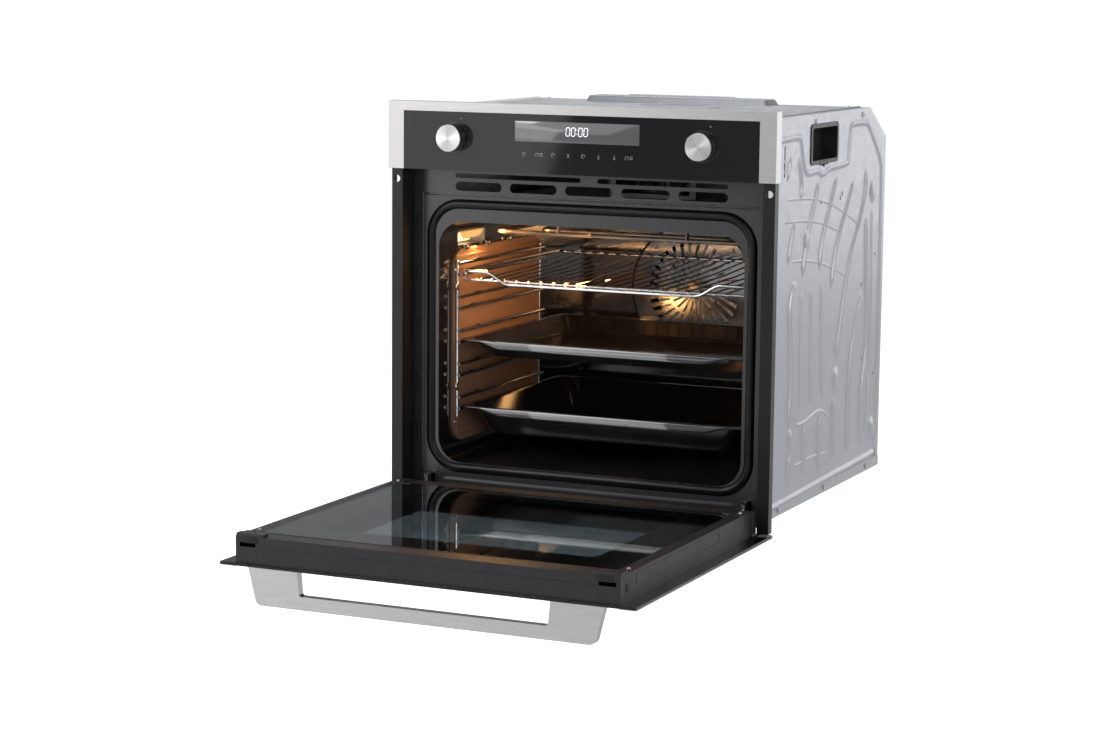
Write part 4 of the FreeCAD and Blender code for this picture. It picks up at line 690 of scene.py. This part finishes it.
bm = bmesh.new()
for x in DIGITS_X:
    zero(bm, x, DIGIT_Z, DIGIT_WIDE, DIGIT_TALL, 1.05)
for z in (DIGIT_Z - 2.8, DIGIT_Z + 3.0):
    slab(bm, rounded(1.2, 1.2, 0.4, COLON_X, z, 2), panel_place, 0.12, 0.2, 0.02)
arc(bm, CLOCK_X, CLOCK_Z, 2.0, -60, 240, 0.6)
dash(bm, CLOCK_X, CLOCK_Z + 0.4, CLOCK_X, CLOCK_Z + 3.8, 0.7)
piece("display_digits", bm, "chassis", digit_white, 35)

bm = bmesh.new()
for x in RING_ICONS:
    arc(bm, x, ICON_Z, 2.9, -20, 290)
    dash(bm, x, ICON_Z, x, ICON_Z + 1.8)
for x in LIST_ICONS:
    arc(bm, x - 3.6, ICON_Z, 2.4, 0, 300)
    dash(bm, x, ICON_Z - 2.6, x, ICON_Z + 2.6)
    for z in (ICON_Z - 1.8, ICON_Z, ICON_Z + 1.8):
        dash(bm, x + 1.8, z, x + 6.2, z)
for x in CROSS_ICONS:
    dash(bm, x - 1.8, ICON_Z - 3, x + 1.8, ICON_Z + 3)
    dash(bm, x + 1.8, ICON_Z - 3, x - 1.8, ICON_Z + 3)
for x in KEY_ICONS:
    dash(bm, x, ICON_Z - 0.6, x, ICON_Z + 3.4)
    arc(bm, x, ICON_Z - 1.8, 1.5, 100, 440)
for knob in ("knob_left_cap", "knob_right_cap"):
    low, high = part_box(knob)
    middle = (low + high) / 2 / MM
    arc(bm, middle.x + 10, KNOB_MARK_Z, 1.1, 0, 345)
piece("touch_icons", bm, "chassis", icon_grey, 35)

# -------- front plate
plate_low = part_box("front_frame")[0]
plate_place = axis_space((0, plate_low.y, 0), "y", -1)
SILL_Z, EDGE_X, HEAD_Z = 14, 264.5, 438

bm = bmesh.new()
bead(bm, [(-236, SILL_Z + 1), (-120, SILL_Z), (0, SILL_Z), (120, SILL_Z), (236, SILL_Z + 1)],
     14, 0.9, plate_place)
for x in (-EDGE_X, EDGE_X):
    bead(bm, [(x, 24), (x, 200), (x, 442)], 3.5, 0.9, plate_place)
bead(bm, [(-262, HEAD_Z), (0, HEAD_Z), (262, HEAD_Z)], 5, 1.0, plate_place)
piece("front_beads", bm, "chassis", charcoal, 60)

bm = bmesh.new()
for x in (-271, 271):
    for z in (92, 170, 246, 322, 398):
        slab(bm, rounded(5, 13, 1.6, x, z), plate_place, -0.2, 2.4, 0.8)
        slab(bm, rounded(2.2, 11, 1.0, x, z - 16), plate_place, -0.2, 0.8, 0.3)
piece("front_clips", bm, "chassis", black_plastic, 35)

bm = bmesh.new()
for x in (-262, -150, -45, 45, 150, 262):
    screw(bm, plate_place(x, 480, 0), "y", -1, 2.6, 1.4, x)
piece("front_fixings", bm, "chassis", zinc, 35)

LEDGE_HALF, LEDGE_FRONT, LEDGE_DROP, FOOT_TAB_X = 240.5, -262, 3.2, 263.5
ledge_back, plate_foot = plate_low.y / MM + 0.2, plate_low.z / MM
profile = [(ledge_back, 1.6), (LEDGE_FRONT + 2.4, 1.6), (LEDGE_FRONT + 0.7, 0.9),
           (LEDGE_FRONT, -0.8), (LEDGE_FRONT, -LEDGE_DROP), (LEDGE_FRONT + 1, -LEDGE_DROP),
           (LEDGE_FRONT + 1, -0.6), (LEDGE_FRONT + 2.6, 0.5), (ledge_back, 0.5)]
bm = bmesh.new()
skin(bm, [[at(x, y, plate_foot + z) for y, z in profile] for x in (-LEDGE_HALF, LEDGE_HALF)],
     closed_ends=(True, True))
for x in (-FOOT_TAB_X, FOOT_TAB_X):
    slab(bm, rounded(27, 13.6, 1.0, x, plate_foot - 6), plate_place, -1.0, 0.6, 0.3)
piece("front_ledge", bm, "chassis", charcoal, 35)

# -------- back panel
back_place = axis_space((0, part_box("back_panel")[1].y, 0), "y")
BACK_SCREWS = [(-268, 20), (268, 20), (-268, 250), (268, 250), (-268, 480), (268, 480),
               (0, 498), (0, 8)]

bm = bmesh.new()
border = rounded(520, 470, 22, 0, 252, 6)
bead(bm, border + border[:1], 12, 1.4, back_place, ends=False, step=8)
for x, foot in ((-130, 128), (-65, 128), (0, 128), (65, 128), (130, 128), (195, 128),
                (-195, 140)):
    bead(bm, [(x, foot), (x, 240), (x, 340)], 18, 1.5, back_place, flat=0.3)
bead(bm, [(-130, 66), (40, 66), (210, 66)], 16, 1.5, back_place, flat=0.3)
piece("back_ribs", bm, "chassis", galvanised, 60)
bm = bmesh.new()
for k, (x, z) in enumerate(BACK_SCREWS):
    screw(bm, back_place(x, z, 0), "y", 1, 3.6, 1.8, 0.9 * k)
piece("back_screws", bm, "chassis", zinc, 35)

# -------- door seal
low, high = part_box("door_seal")
seal_wide, seal_tall = (high.x - low.x) / MM, (high.z - low.z) / MM
seal_mid_z = (high.z + low.z) / 2 / MM
SEAL_CORNER = 52
# The rubber's section: how far inwards, how far towards the door.
profile = [(0.0, 0.0), (1.2, 0.0), (1.4, 1.3), (2.6, 2.4), (4.2, 3.8), (6.2, 4.6), (8.4, 4.65),
           (10.6, 4.0), (12.2, 2.6), (13.0, 1.2), (13.6, 0.0), (14.0, 0.0), (13.8, -0.15),
           (0.2, -0.15)]
bm = bmesh.new()
loops = []
for into, rise in profile:
    edge = rounded(seal_wide - 2 * into, seal_tall - 2 * into, SEAL_CORNER - into, 0,
                   seal_mid_z, 12)
    loops.append([Vector((u * MM, high.y - rise * MM, v * MM)) for u, v in edge])
skin(bm, loops + loops[:1])
seal = piece("seal_profile", bm, "chassis", rubber, 50)
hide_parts("door_seal")

# -------- inside the cavity
RUNNER_X, RUNNER_LEVELS, RUNNER_STEP = 226.7, 5, 50
# The two wires of the top runner: height and place of the bump along y.
RUNNER_WIRES = ((332, -131), (315, -150))

for sign, word in ((-1, "left"), (1, "right")):
    low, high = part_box("liner_" + word)
    face = low.x if sign > 0 else high.x
    y0, y1, z0, z1 = (v / MM for v in (low.y, high.y, low.z, high.z))
    liner_place = axis_space((face, 0, 0), "x", -sign)
    bm = bmesh.new()
    border = rounded(y1 - y0 - 22, z1 - z0 - 22, 14, (y0 + y1) / 2, (z0 + z1) / 2, 6)
    bead(bm, border + border[:1], 7, 1.3, liner_place, ends=False, step=8)
    piece("liner_border_" + word, bm, "chassis", liner_brown, 60)
    bm = bmesh.new()
    for k in range(4):
        y = y0 + 40 + k * (y1 - y0 - 80) / 3
        slab(bm, rounded(12, 7, 1.5, y, z1 + 1.5), liner_place, -2, 1.8, 0.5)
    for z in (z0 + 30, z1 - 30):
        for y in (y0 + 5.5, y1 - 5.5):
            screw(bm, liner_place(y, z, 0), "x", -sign, 2.6, 1.3, z)
    piece("liner_clips_" + word, bm, "chassis", chrome, 35)

    bm = bmesh.new()
    for level in range(RUNNER_LEVELS):
        for top_wire, middle in RUNNER_WIRES:
            z = top_wire - RUNNER_STEP * level + 1.6
            rod(bm, [at(sign * (RUNNER_X - 1.9 * ease(1 - abs(t))), middle + 13 * t,
                        z + 1.5 * ease(1 - abs(t))) for t in (k / 6 for k in range(-6, 7))],
                1.5 * MM, 8)
    piece("rack_bumps_" + word, bm, "chassis", chrome, 60)

fan_low, fan_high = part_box("fan_cover")
fan_z = (fan_low.z + fan_high.z) / 2 / MM
rear_place = axis_space((0, fan_low.y, 0), "y", -1)
FAN_SCREW_REACH = 92

bm = bmesh.new()
loops = []
for reach, rise in ((13.5, -0.5), (13.5, 0.6), (12.4, 1.6), (8, 2.0), (5, 3.0), (0.4, 3.4)):
    loops.append([rear_place(reach * math.cos(a), fan_z + reach * math.sin(a), rise)
                  for a in angles(36)])
skin(bm, loops, closed_ends=(False, True))
for k in range(4):
    a = math.pi / 4 + k * math.pi / 2
    screw(bm, rear_place(FAN_SCREW_REACH * math.cos(a), fan_z + FAN_SCREW_REACH * math.sin(a), 0),
          "y", -1, 3.4, 1.6, k)
piece("fan_cover_fixings", bm, "chassis", element, 40)

low, high = (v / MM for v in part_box("lamp_lens"))
LENS_RIBS, LENS_SLANT, LENS_RIB_MARGIN = 10, 12, 15
front, rear = low.y + 8, high.y - 14
bm = bmesh.new()
loops = []
for x, grow, drop in ((low.x - 0.3, 0, 12), (low.x + 1.5, 0, 12), (high.x - 1.2, 5, 9),
                      (high.x, 9, 7)):
    y0, y1 = front + grow, rear - grow
    loops.append([at(x, y0, high.z - 0.4), at(x, y1, high.z - 0.4),
                  at(x, y1 - LENS_SLANT, high.z - drop), at(x, y0 + LENS_SLANT, high.z - drop)])
skin(bm, loops, closed_ends=(True, True))
for k in range(LENS_RIBS):
    y = front + LENS_RIB_MARGIN + (rear - front - 2 * LENS_RIB_MARGIN) * k / (LENS_RIBS - 1)
    rod(bm, [at(high.x - 0.7 + t, y, high.z - v)
             for t, v in ((-1.6, 8.8), (-0.3, 7.0), (0.2, 4.5), (0.2, 1.6))], 1.1 * MM, 8)
lens = piece("lamp_lens_prism", bm, "chassis", lamp_glass, 30)
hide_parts("lamp_lens")

# -------- shelf and trays
low, high = (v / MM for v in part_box("wire_shelf"))
RAIL_RADIUS, SHELF_DIP, SHELF_BEND, WIRES, WIRE_MARGIN = 2.5, 17, 12, 21, 32
FLAT_HALF, FLAT_RAMP, BACK_DROP, BAR_SETBACK = 146, 40, 3, 9
rail_z = high.z - RAIL_RADIUS
rail_x = high.x - RAIL_RADIUS
deck_z = rail_z - SHELF_DIP
bar_z = deck_z + 3.2
shelf_front, shelf_back = low.y + RAIL_RADIUS, high.y - RAIL_RADIUS


def frame_point(x, y):
    """The frame's front dips to the deck between its two ends."""
    dipped = deck_z + SHELF_DIP * ease((abs(x) - FLAT_HALF) / FLAT_RAMP)
    return at(x, y, dipped if y < shelf_front + 1 else rail_z)


def both_ends(half):
    """A line that runs to x = 0, and its mirror image back outwards."""
    return half + [(-point[0], *point[1:]) for point in half[::-1] if point[0]]


bm = bmesh.new()
turn = [math.pi / 2 * k / 6 for k in range(7)]
half = [(-rail_x, shelf_back - 14)]
half += [(-rail_x + SHELF_BEND * (1 - math.cos(a)), shelf_front + SHELF_BEND * (1 - math.sin(a)))
         for a in turn]
half += [(-(rail_x - SHELF_BEND) * (1 - k / 45), shelf_front) for k in range(1, 46)]
rod(bm, [frame_point(x, y) for x, y in both_ends(half)], RAIL_RADIUS * MM, 14)
half = [(-rail_x, -16, 0), (-rail_x, -8, 0.6), (-rail_x + 3, -3, 1.8), (-rail_x + 9, 0, BACK_DROP),
        (0, 0, BACK_DROP)]
rod(bm, [at(x, shelf_back + dy, rail_z - drop) for x, dy, drop in both_ends(half)], 2.2 * MM, 12)
half = [(-rail_x + 1, rail_z), (-rail_x + 4, rail_z - 6), (-rail_x + 10, bar_z + 1),
        (-rail_x + 20, bar_z), (0, bar_z)]
rod(bm, [at(x, shelf_front + BAR_SETBACK, z) for x, z in smooth_line(both_ends(half), 4)],
    1.7 * MM, 10)
wire = [(shelf_front - 0.2, deck_z + 2.6), (shelf_front + 0.4, deck_z + 5.2),
        (shelf_front + 2.4, deck_z + 6.4), (shelf_front + BAR_SETBACK, bar_z + 2.9),
        (0, rail_z - 8), (shelf_back - 20, rail_z + 0.4), (shelf_back + 1.5, rail_z + 0.5)]
for k in range(WIRES):
    x = (rail_x - WIRE_MARGIN) * (2 * k / (WIRES - 1) - 1)
    rod(bm, [at(x, y, z) for y, z in wire], 1.3 * MM, 8)
shelf = piece("shelf_wires", bm, "shelf", chrome, 60)
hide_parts("wire_shelf")

LIP_HALF, LIP_RAMP, LIP_TALL, LIP_LOW = 158, 42, 10.2, 2.2
# The section of the front lip: how far backwards, and down as a share of its height.
LIP_SECTION = ((0.35, 0.02), (-0.15, 0.12), (-0.2, 0.45), (0.2, 0.8), (0.9, 0.97), (1.6, 1.0),
               (1.9, 0.93), (1.5, 0.5), (1.5, 0.1))
for node, body in (("tray_upper", "upper_tray"), ("tray_lower", "lower_tray")):
    low, high = (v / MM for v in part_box(node))
    top, foot = high.z, low.z
    mid_y, half_y = (low.y + high.y) / 2, (high.y - low.y) / 2
    lean = (top - foot) * 0.5
    # From the middle of the floor over the rim and back under it: how far inwards, height.
    sections = [(46, foot + 1.6), (24 + lean, foot + 1.4), (17 + lean, foot + 2.4),
                (13.5 + lean, foot + 6), (12.6, top - 2.4), (11.2, top - 0.5), (9.6, top),
                (1.2, top), (0.2, top - 0.5), (0, top - 1.0), (0.4, top - 1.5), (9.8, top - 1.5),
                (11.4, top - 2.4), (12.3, top - 4), (12.3 + lean, foot + 5.6),
                (16 + lean, foot + 1.4), (24 + lean, foot + 0.2), (46, foot)]
    loops = []
    for into, z in sections:
        outline = rounded(2 * (high.x - into), 2 * (half_y - into), min(24, 12 + into * 0.7), 0,
                          mid_y, 9)
        loops.append([at(u, v, z) for u, v in outline])
    bm = bmesh.new()
    skin(bm, loops, closed_ends=(True, True))
    loops = []
    for k in range(121):
        x = -high.x + 9 + (2 * high.x - 18) * k / 120
        tall = LIP_LOW + LIP_TALL * ease((LIP_HALF + LIP_RAMP - abs(x)) / LIP_RAMP)
        loops.append([at(x, low.y + out, top - down * tall)
                      for out, down in ((1.2, -0.02 / tall), *LIP_SECTION)])
    skin(bm, loops, closed_ends=(True, True))
    tray = piece(node + "_pan", bm, body, tray_black, 50)
    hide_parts(node)

# -------- carry grips
for sign, word in ((-1, "left"), (1, "right")):
    low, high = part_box("carry_grip_" + word)
    place = side_place(sign)
    y0, y1, z0, z1 = (v / MM for v in (low.y, high.y, low.z, high.z))
    middle_y, middle_z = (y0 + y1) / 2, (z0 + z1) / 2
    bm = bmesh.new()
    ring_slab(bm, rounded(y1 - y0 + 8, z1 - z0 + 8, 8, middle_y, middle_z),
              rounded(y1 - y0 - 5, z1 - z0 - 5, 4, middle_y, middle_z), place, -0.2, 1.6, 0.5)
    for y, tall in ((-16, 6), (-2, 9), (12, 6)):
        slab(bm, rounded(5, tall, 1.2, middle_y + y, z0 - 1 - tall / 4), place, -0.2, 1.9, 0.4)
    piece("grip_rim_" + word, bm, "chassis", black_plastic, 40)

# -------- door
# With the door open, heights are measured up from the inner face of the inner glass.
inner_low, inner_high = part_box("door_inner_glass")
outer_low, outer_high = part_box("door_outer_glass")
rail_low, rail_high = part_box("door_top_rail")
side_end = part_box("door_side_rail_right")[1]
door_place = axis_space((0, 0, inner_high.z), "z")
rail_place = axis_space((0, rail_low.y, 0), "y", -1)
glass_mid, glass_deep = (inner_low.y + inner_high.y) / 2 / MM, (inner_high.y - inner_low.y) / MM
outer_mid, outer_deep = (outer_low.y + outer_high.y) / 2 / MM, (outer_high.y - outer_low.y) / MM
INNER_WIDE, OUTER_WIDE, WINDOW_WIDE, WINDOW_SHORTER, WINDOW_SHIFT = 513, 594, 400, 106, 6
OUTER_WINDOW_MORE = 10


def frit_border(wide, deep, mid, more, low, high):
    """A printed border round the window of a glass pane; more widens the window."""
    bm = bmesh.new()
    ring_slab(bm, rounded(wide, deep - 1, 2, 0, mid, 8),
              rounded(WINDOW_WIDE + more, glass_deep - WINDOW_SHORTER + more, 14, 0,
                      glass_mid + WINDOW_SHIFT, 8), door_place, low, high, 0.05)
    return bm


bm = frit_border(INNER_WIDE, glass_deep, glass_mid, 0, -4.35, -4.1)
piece("inner_glass_frit", bm, "door", frit, 40)
outer_up = (outer_high.z - inner_high.z) / MM
bm = frit_border(OUTER_WIDE, outer_deep, outer_mid, OUTER_WINDOW_MORE, outer_up - 0.30,
                 outer_up - 0.06)
piece("outer_glass_frit", bm, "door", frit, 40)

CORNER_X, CORNER_LOW, CORNER_HIGH = 267.1, -35.5, -2.6
SIDE_RAIL_X, SLOT_Y, SIDE_PANEL_Y, SIDE_PANEL_LONG = 266, -735, -560, 290
rail_face, rail_back = rail_low.y / MM, rail_high.y / MM - 4
bm = bmesh.new()
for sign in (-1, 1):
    slab(bm, rounded(42, 13, 2, sign * 254, rail_face + 6.8), door_place, -0.2, 3.8, 0.8)
    slab(bm, rounded(14, 26, 2.5, sign * 267, rail_face + 14), door_place, -0.2, 2.6, 0.8)
    bead(bm, [(sign * SIDE_RAIL_X, y) for y in (-690, -520, -330)], 7, 0.9, door_place, flat=0.5)
    slab(bm, rounded(20, 17, 1.0, sign * CORNER_X, side_end.y / MM + 8), door_place,
         CORNER_LOW, CORNER_HIGH, 0.6)
    place = axis_space((sign * side_end.x, 0, 0), "x", sign)
    panel = rounded(SIDE_PANEL_LONG, 17, 6, SIDE_PANEL_Y, 9, 7)
    ring_slab(bm, panel, inset(panel, 1.6), place, -0.3, 0.5, 0.15)
    ring_slab(bm, rounded(7, 12, 3.4, SLOT_Y, 4, 6), rounded(3.6, 8.6, 1.75, SLOT_Y, 4, 6),
              place, -0.3, 0.9, 0.25)
bead(bm, [(x, rail_back) for x in (-240, 0, 240)], 4, 0.7, door_place, flat=0.3)
piece("door_frame_ribs", bm, "door", door_plastic, 45)

# Grooves in the face of the top rail, painted as dark shade like the two corner slots: from x, z
# to x, z.
RAIL_GROOVES = ((-236, 8.5, 236, 8.5), (-236, 8.5, -243, 4.5), (-243, 4.5, -243, -10),
                (236, 8.5, 243, 4.5), (243, 4.5, 243, -10))
bm = bmesh.new()
for sign in (-1, 1):
    slab(bm, rounded(24, 8.4, 1.4, sign * 253, 17.6), rail_place, -0.4, 0.5, 0.1)
for groove in RAIL_GROOVES:
    dash(bm, *groove, 0.7, rail_place, -0.3, 0.08)
piece("door_frame_grooves", bm, "door", painted_hole_shade, 35)

TRIM_LOW, TRIM_HIGH = -40.6, -37.6
bm = bmesh.new()
for sign in (-1, 1):
    slab(bm, rounded(1.1, outer_deep - 0.4, 0.3, sign * (outer_high.x / MM - 0.6), outer_mid, 3),
         door_place, TRIM_LOW, TRIM_HIGH, 0.2)
piece("door_edge_trim", bm, "door", steel_strip, 35)

bm = bmesh.new()
for x in (-SIDE_RAIL_X, SIDE_RAIL_X):
    for y in (-708, -312):
        screw(bm, door_place(x, y, 0.6), "z", 1, 2.6, 1.2, y)
piece("door_screws", bm, "door", zinc, 35)

# -------- stage and light
# A plain white floor, well below the object, so no contact shadow shows.
FLOOR_Z, FLOOR_RADIUS = -0.34, 40
FLOOR_SEEN_GLOW, FLOOR_GLOSSY_GLOW = 0.80, 0.08
WORLD_LIGHT, WORLD_SEEN = 0.26, 1.05
bm = bmesh.new()
rim = [(FLOOR_RADIUS * math.cos(a), FLOOR_RADIUS * math.sin(a)) for a in angles(96)]
loops = [[Vector((u * s, v * s, FLOOR_Z)) for u, v in rim] for s in (1, 0.25, 0.05)]
skin(bm, loops, closed_ends=(False, True))
mesh = bpy.data.meshes.new("floor")
bm.to_mesh(mesh)
bm.free()
floor = bpy.data.objects.new("floor", mesh)
bpy.context.scene.collection.objects.link(floor)
floor_paint = Paint("floor_white", (0.84, 0.84, 0.845), 0.7, glow_colour=(1, 1, 1))
floor_paint.mottle(3, (0.82, 0.82, 0.825), 1)
ray = floor_paint.node("ShaderNodeLightPath")
seen_glow = floor_paint.node("ShaderNodeMath", operation="MULTIPLY")
seen_glow.inputs[1].default_value = FLOOR_SEEN_GLOW
floor_paint.link(ray.outputs["Is Camera Ray"], seen_glow.inputs[0])
glow = floor_paint.node("ShaderNodeMath", operation="MULTIPLY_ADD")
glow.inputs[1].default_value = FLOOR_GLOSSY_GLOW
floor_paint.link(ray.outputs["Is Glossy Ray"], glow.inputs[0])
floor_paint.link(seen_glow.outputs["Value"], glow.inputs[2])
floor_paint.link(glow.outputs["Value"], floor_paint.bsdf.inputs["Emission Strength"])
mesh.materials.append(floor_paint.mat)

world = bpy.data.worlds.new("studio")
bpy.context.scene.world = world
world.use_nodes = True
sky = world.node_tree
background = sky.nodes["Background"]
background.inputs["Color"].default_value = (0.97, 0.98, 1.0, 1)
path = sky.nodes.new("ShaderNodeLightPath")
level = sky.nodes.new("ShaderNodeMapRange")
level.inputs["To Min"].default_value = WORLD_LIGHT
level.inputs["To Max"].default_value = WORLD_SEEN
sky.links.new(path.outputs["Is Camera Ray"], level.inputs["Value"])
sky.links.new(level.outputs["Result"], background.inputs["Strength"])


def lamp(name, spot, target, size, power, colour=(1, 1, 1), glossy=True, turn=0.0):
    data = bpy.data.lights.new(name, "AREA")
    data.shape = "RECTANGLE"
    data.size, data.size_y = size
    data.energy = power
    data.color = colour
    obj = bpy.data.objects.new(name, data)
    aim = (Vector(target) - Vector(spot)).to_track_quat("-Z", "Y").to_matrix().to_4x4()
    obj.matrix_world = Matrix.Translation(spot) @ aim @ Matrix.Rotation(turn, 4, "Z")
    obj.visible_camera = False
    obj.visible_glossy = glossy
    obj.visible_transmission = False
    bpy.context.scene.collection.objects.link(obj)
    return obj


CENTRE = (0, -0.15, 0.25)
WARM = (1.0, 0.50, 0.17)
lamp("key", (-2.6, -3.0, 2.6), CENTRE, (2.0, 2.0), 52)
lamp("front_fill", (2.6, -4.0, 1.6), CENTRE, (1.6, 1.6), 22)
lamp("front_card", (-2.08, -3.28, 0.42), (-0.1, -0.28, 0.42), (1.3, 2.1), 10,
     turn=math.radians(-19.6))
lamp("upper_card", (-1.3, -3.3, 1.35), (0, -0.2, 0.25), (1.9, 1.0), 4.5)
lamp("top_box", (0.1, -0.2, 3.2), CENTRE, (2.6, 2.6), 16)
lamp("right_box", (3.4, 0.2, 1.3), CENTRE, (1.8, 2.4), 26)
lamp("back_right", (1.9, 3.3, 0.9), CENTRE, (2.4, 2.0), 17)
lamp("back_box", (-1.2, 3.2, 2.7), CENTRE, (2.2, 2.0), 16)
lamp("left_box", (-3.6, 0.4, 1.2), CENTRE, (1.8, 2.4), 34)
lens_low, lens_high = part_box("lamp_lens")
lens_mid = (lens_low + lens_high) / 2
lamp("oven_lamp", (lens_high.x + 0.004, lens_mid.y, lens_mid.z),
     (lens_high.x + 0.1, lens_mid.y, lens_mid.z - 0.05), (0.018, 0.085), 1.3, WARM)
lamp("oven_glow", (-0.04, -0.15, 0.345), (-0.234, -0.11, 0.24), (0.1, 0.08), 0.65, WARM)
lamp("oven_card", (-0.035, -0.262, 0.175), (-0.035, 0.2, 0.165), (0.22, 0.25), 0.14)
lamp("oven_fill", (0.215, -0.08, 0.24), (-0.23, -0.04, 0.20), (0.2, 0.16), 0.9, WARM,
     glossy=False)

bpy.context.scene.view_settings.view_transform = "Standard"
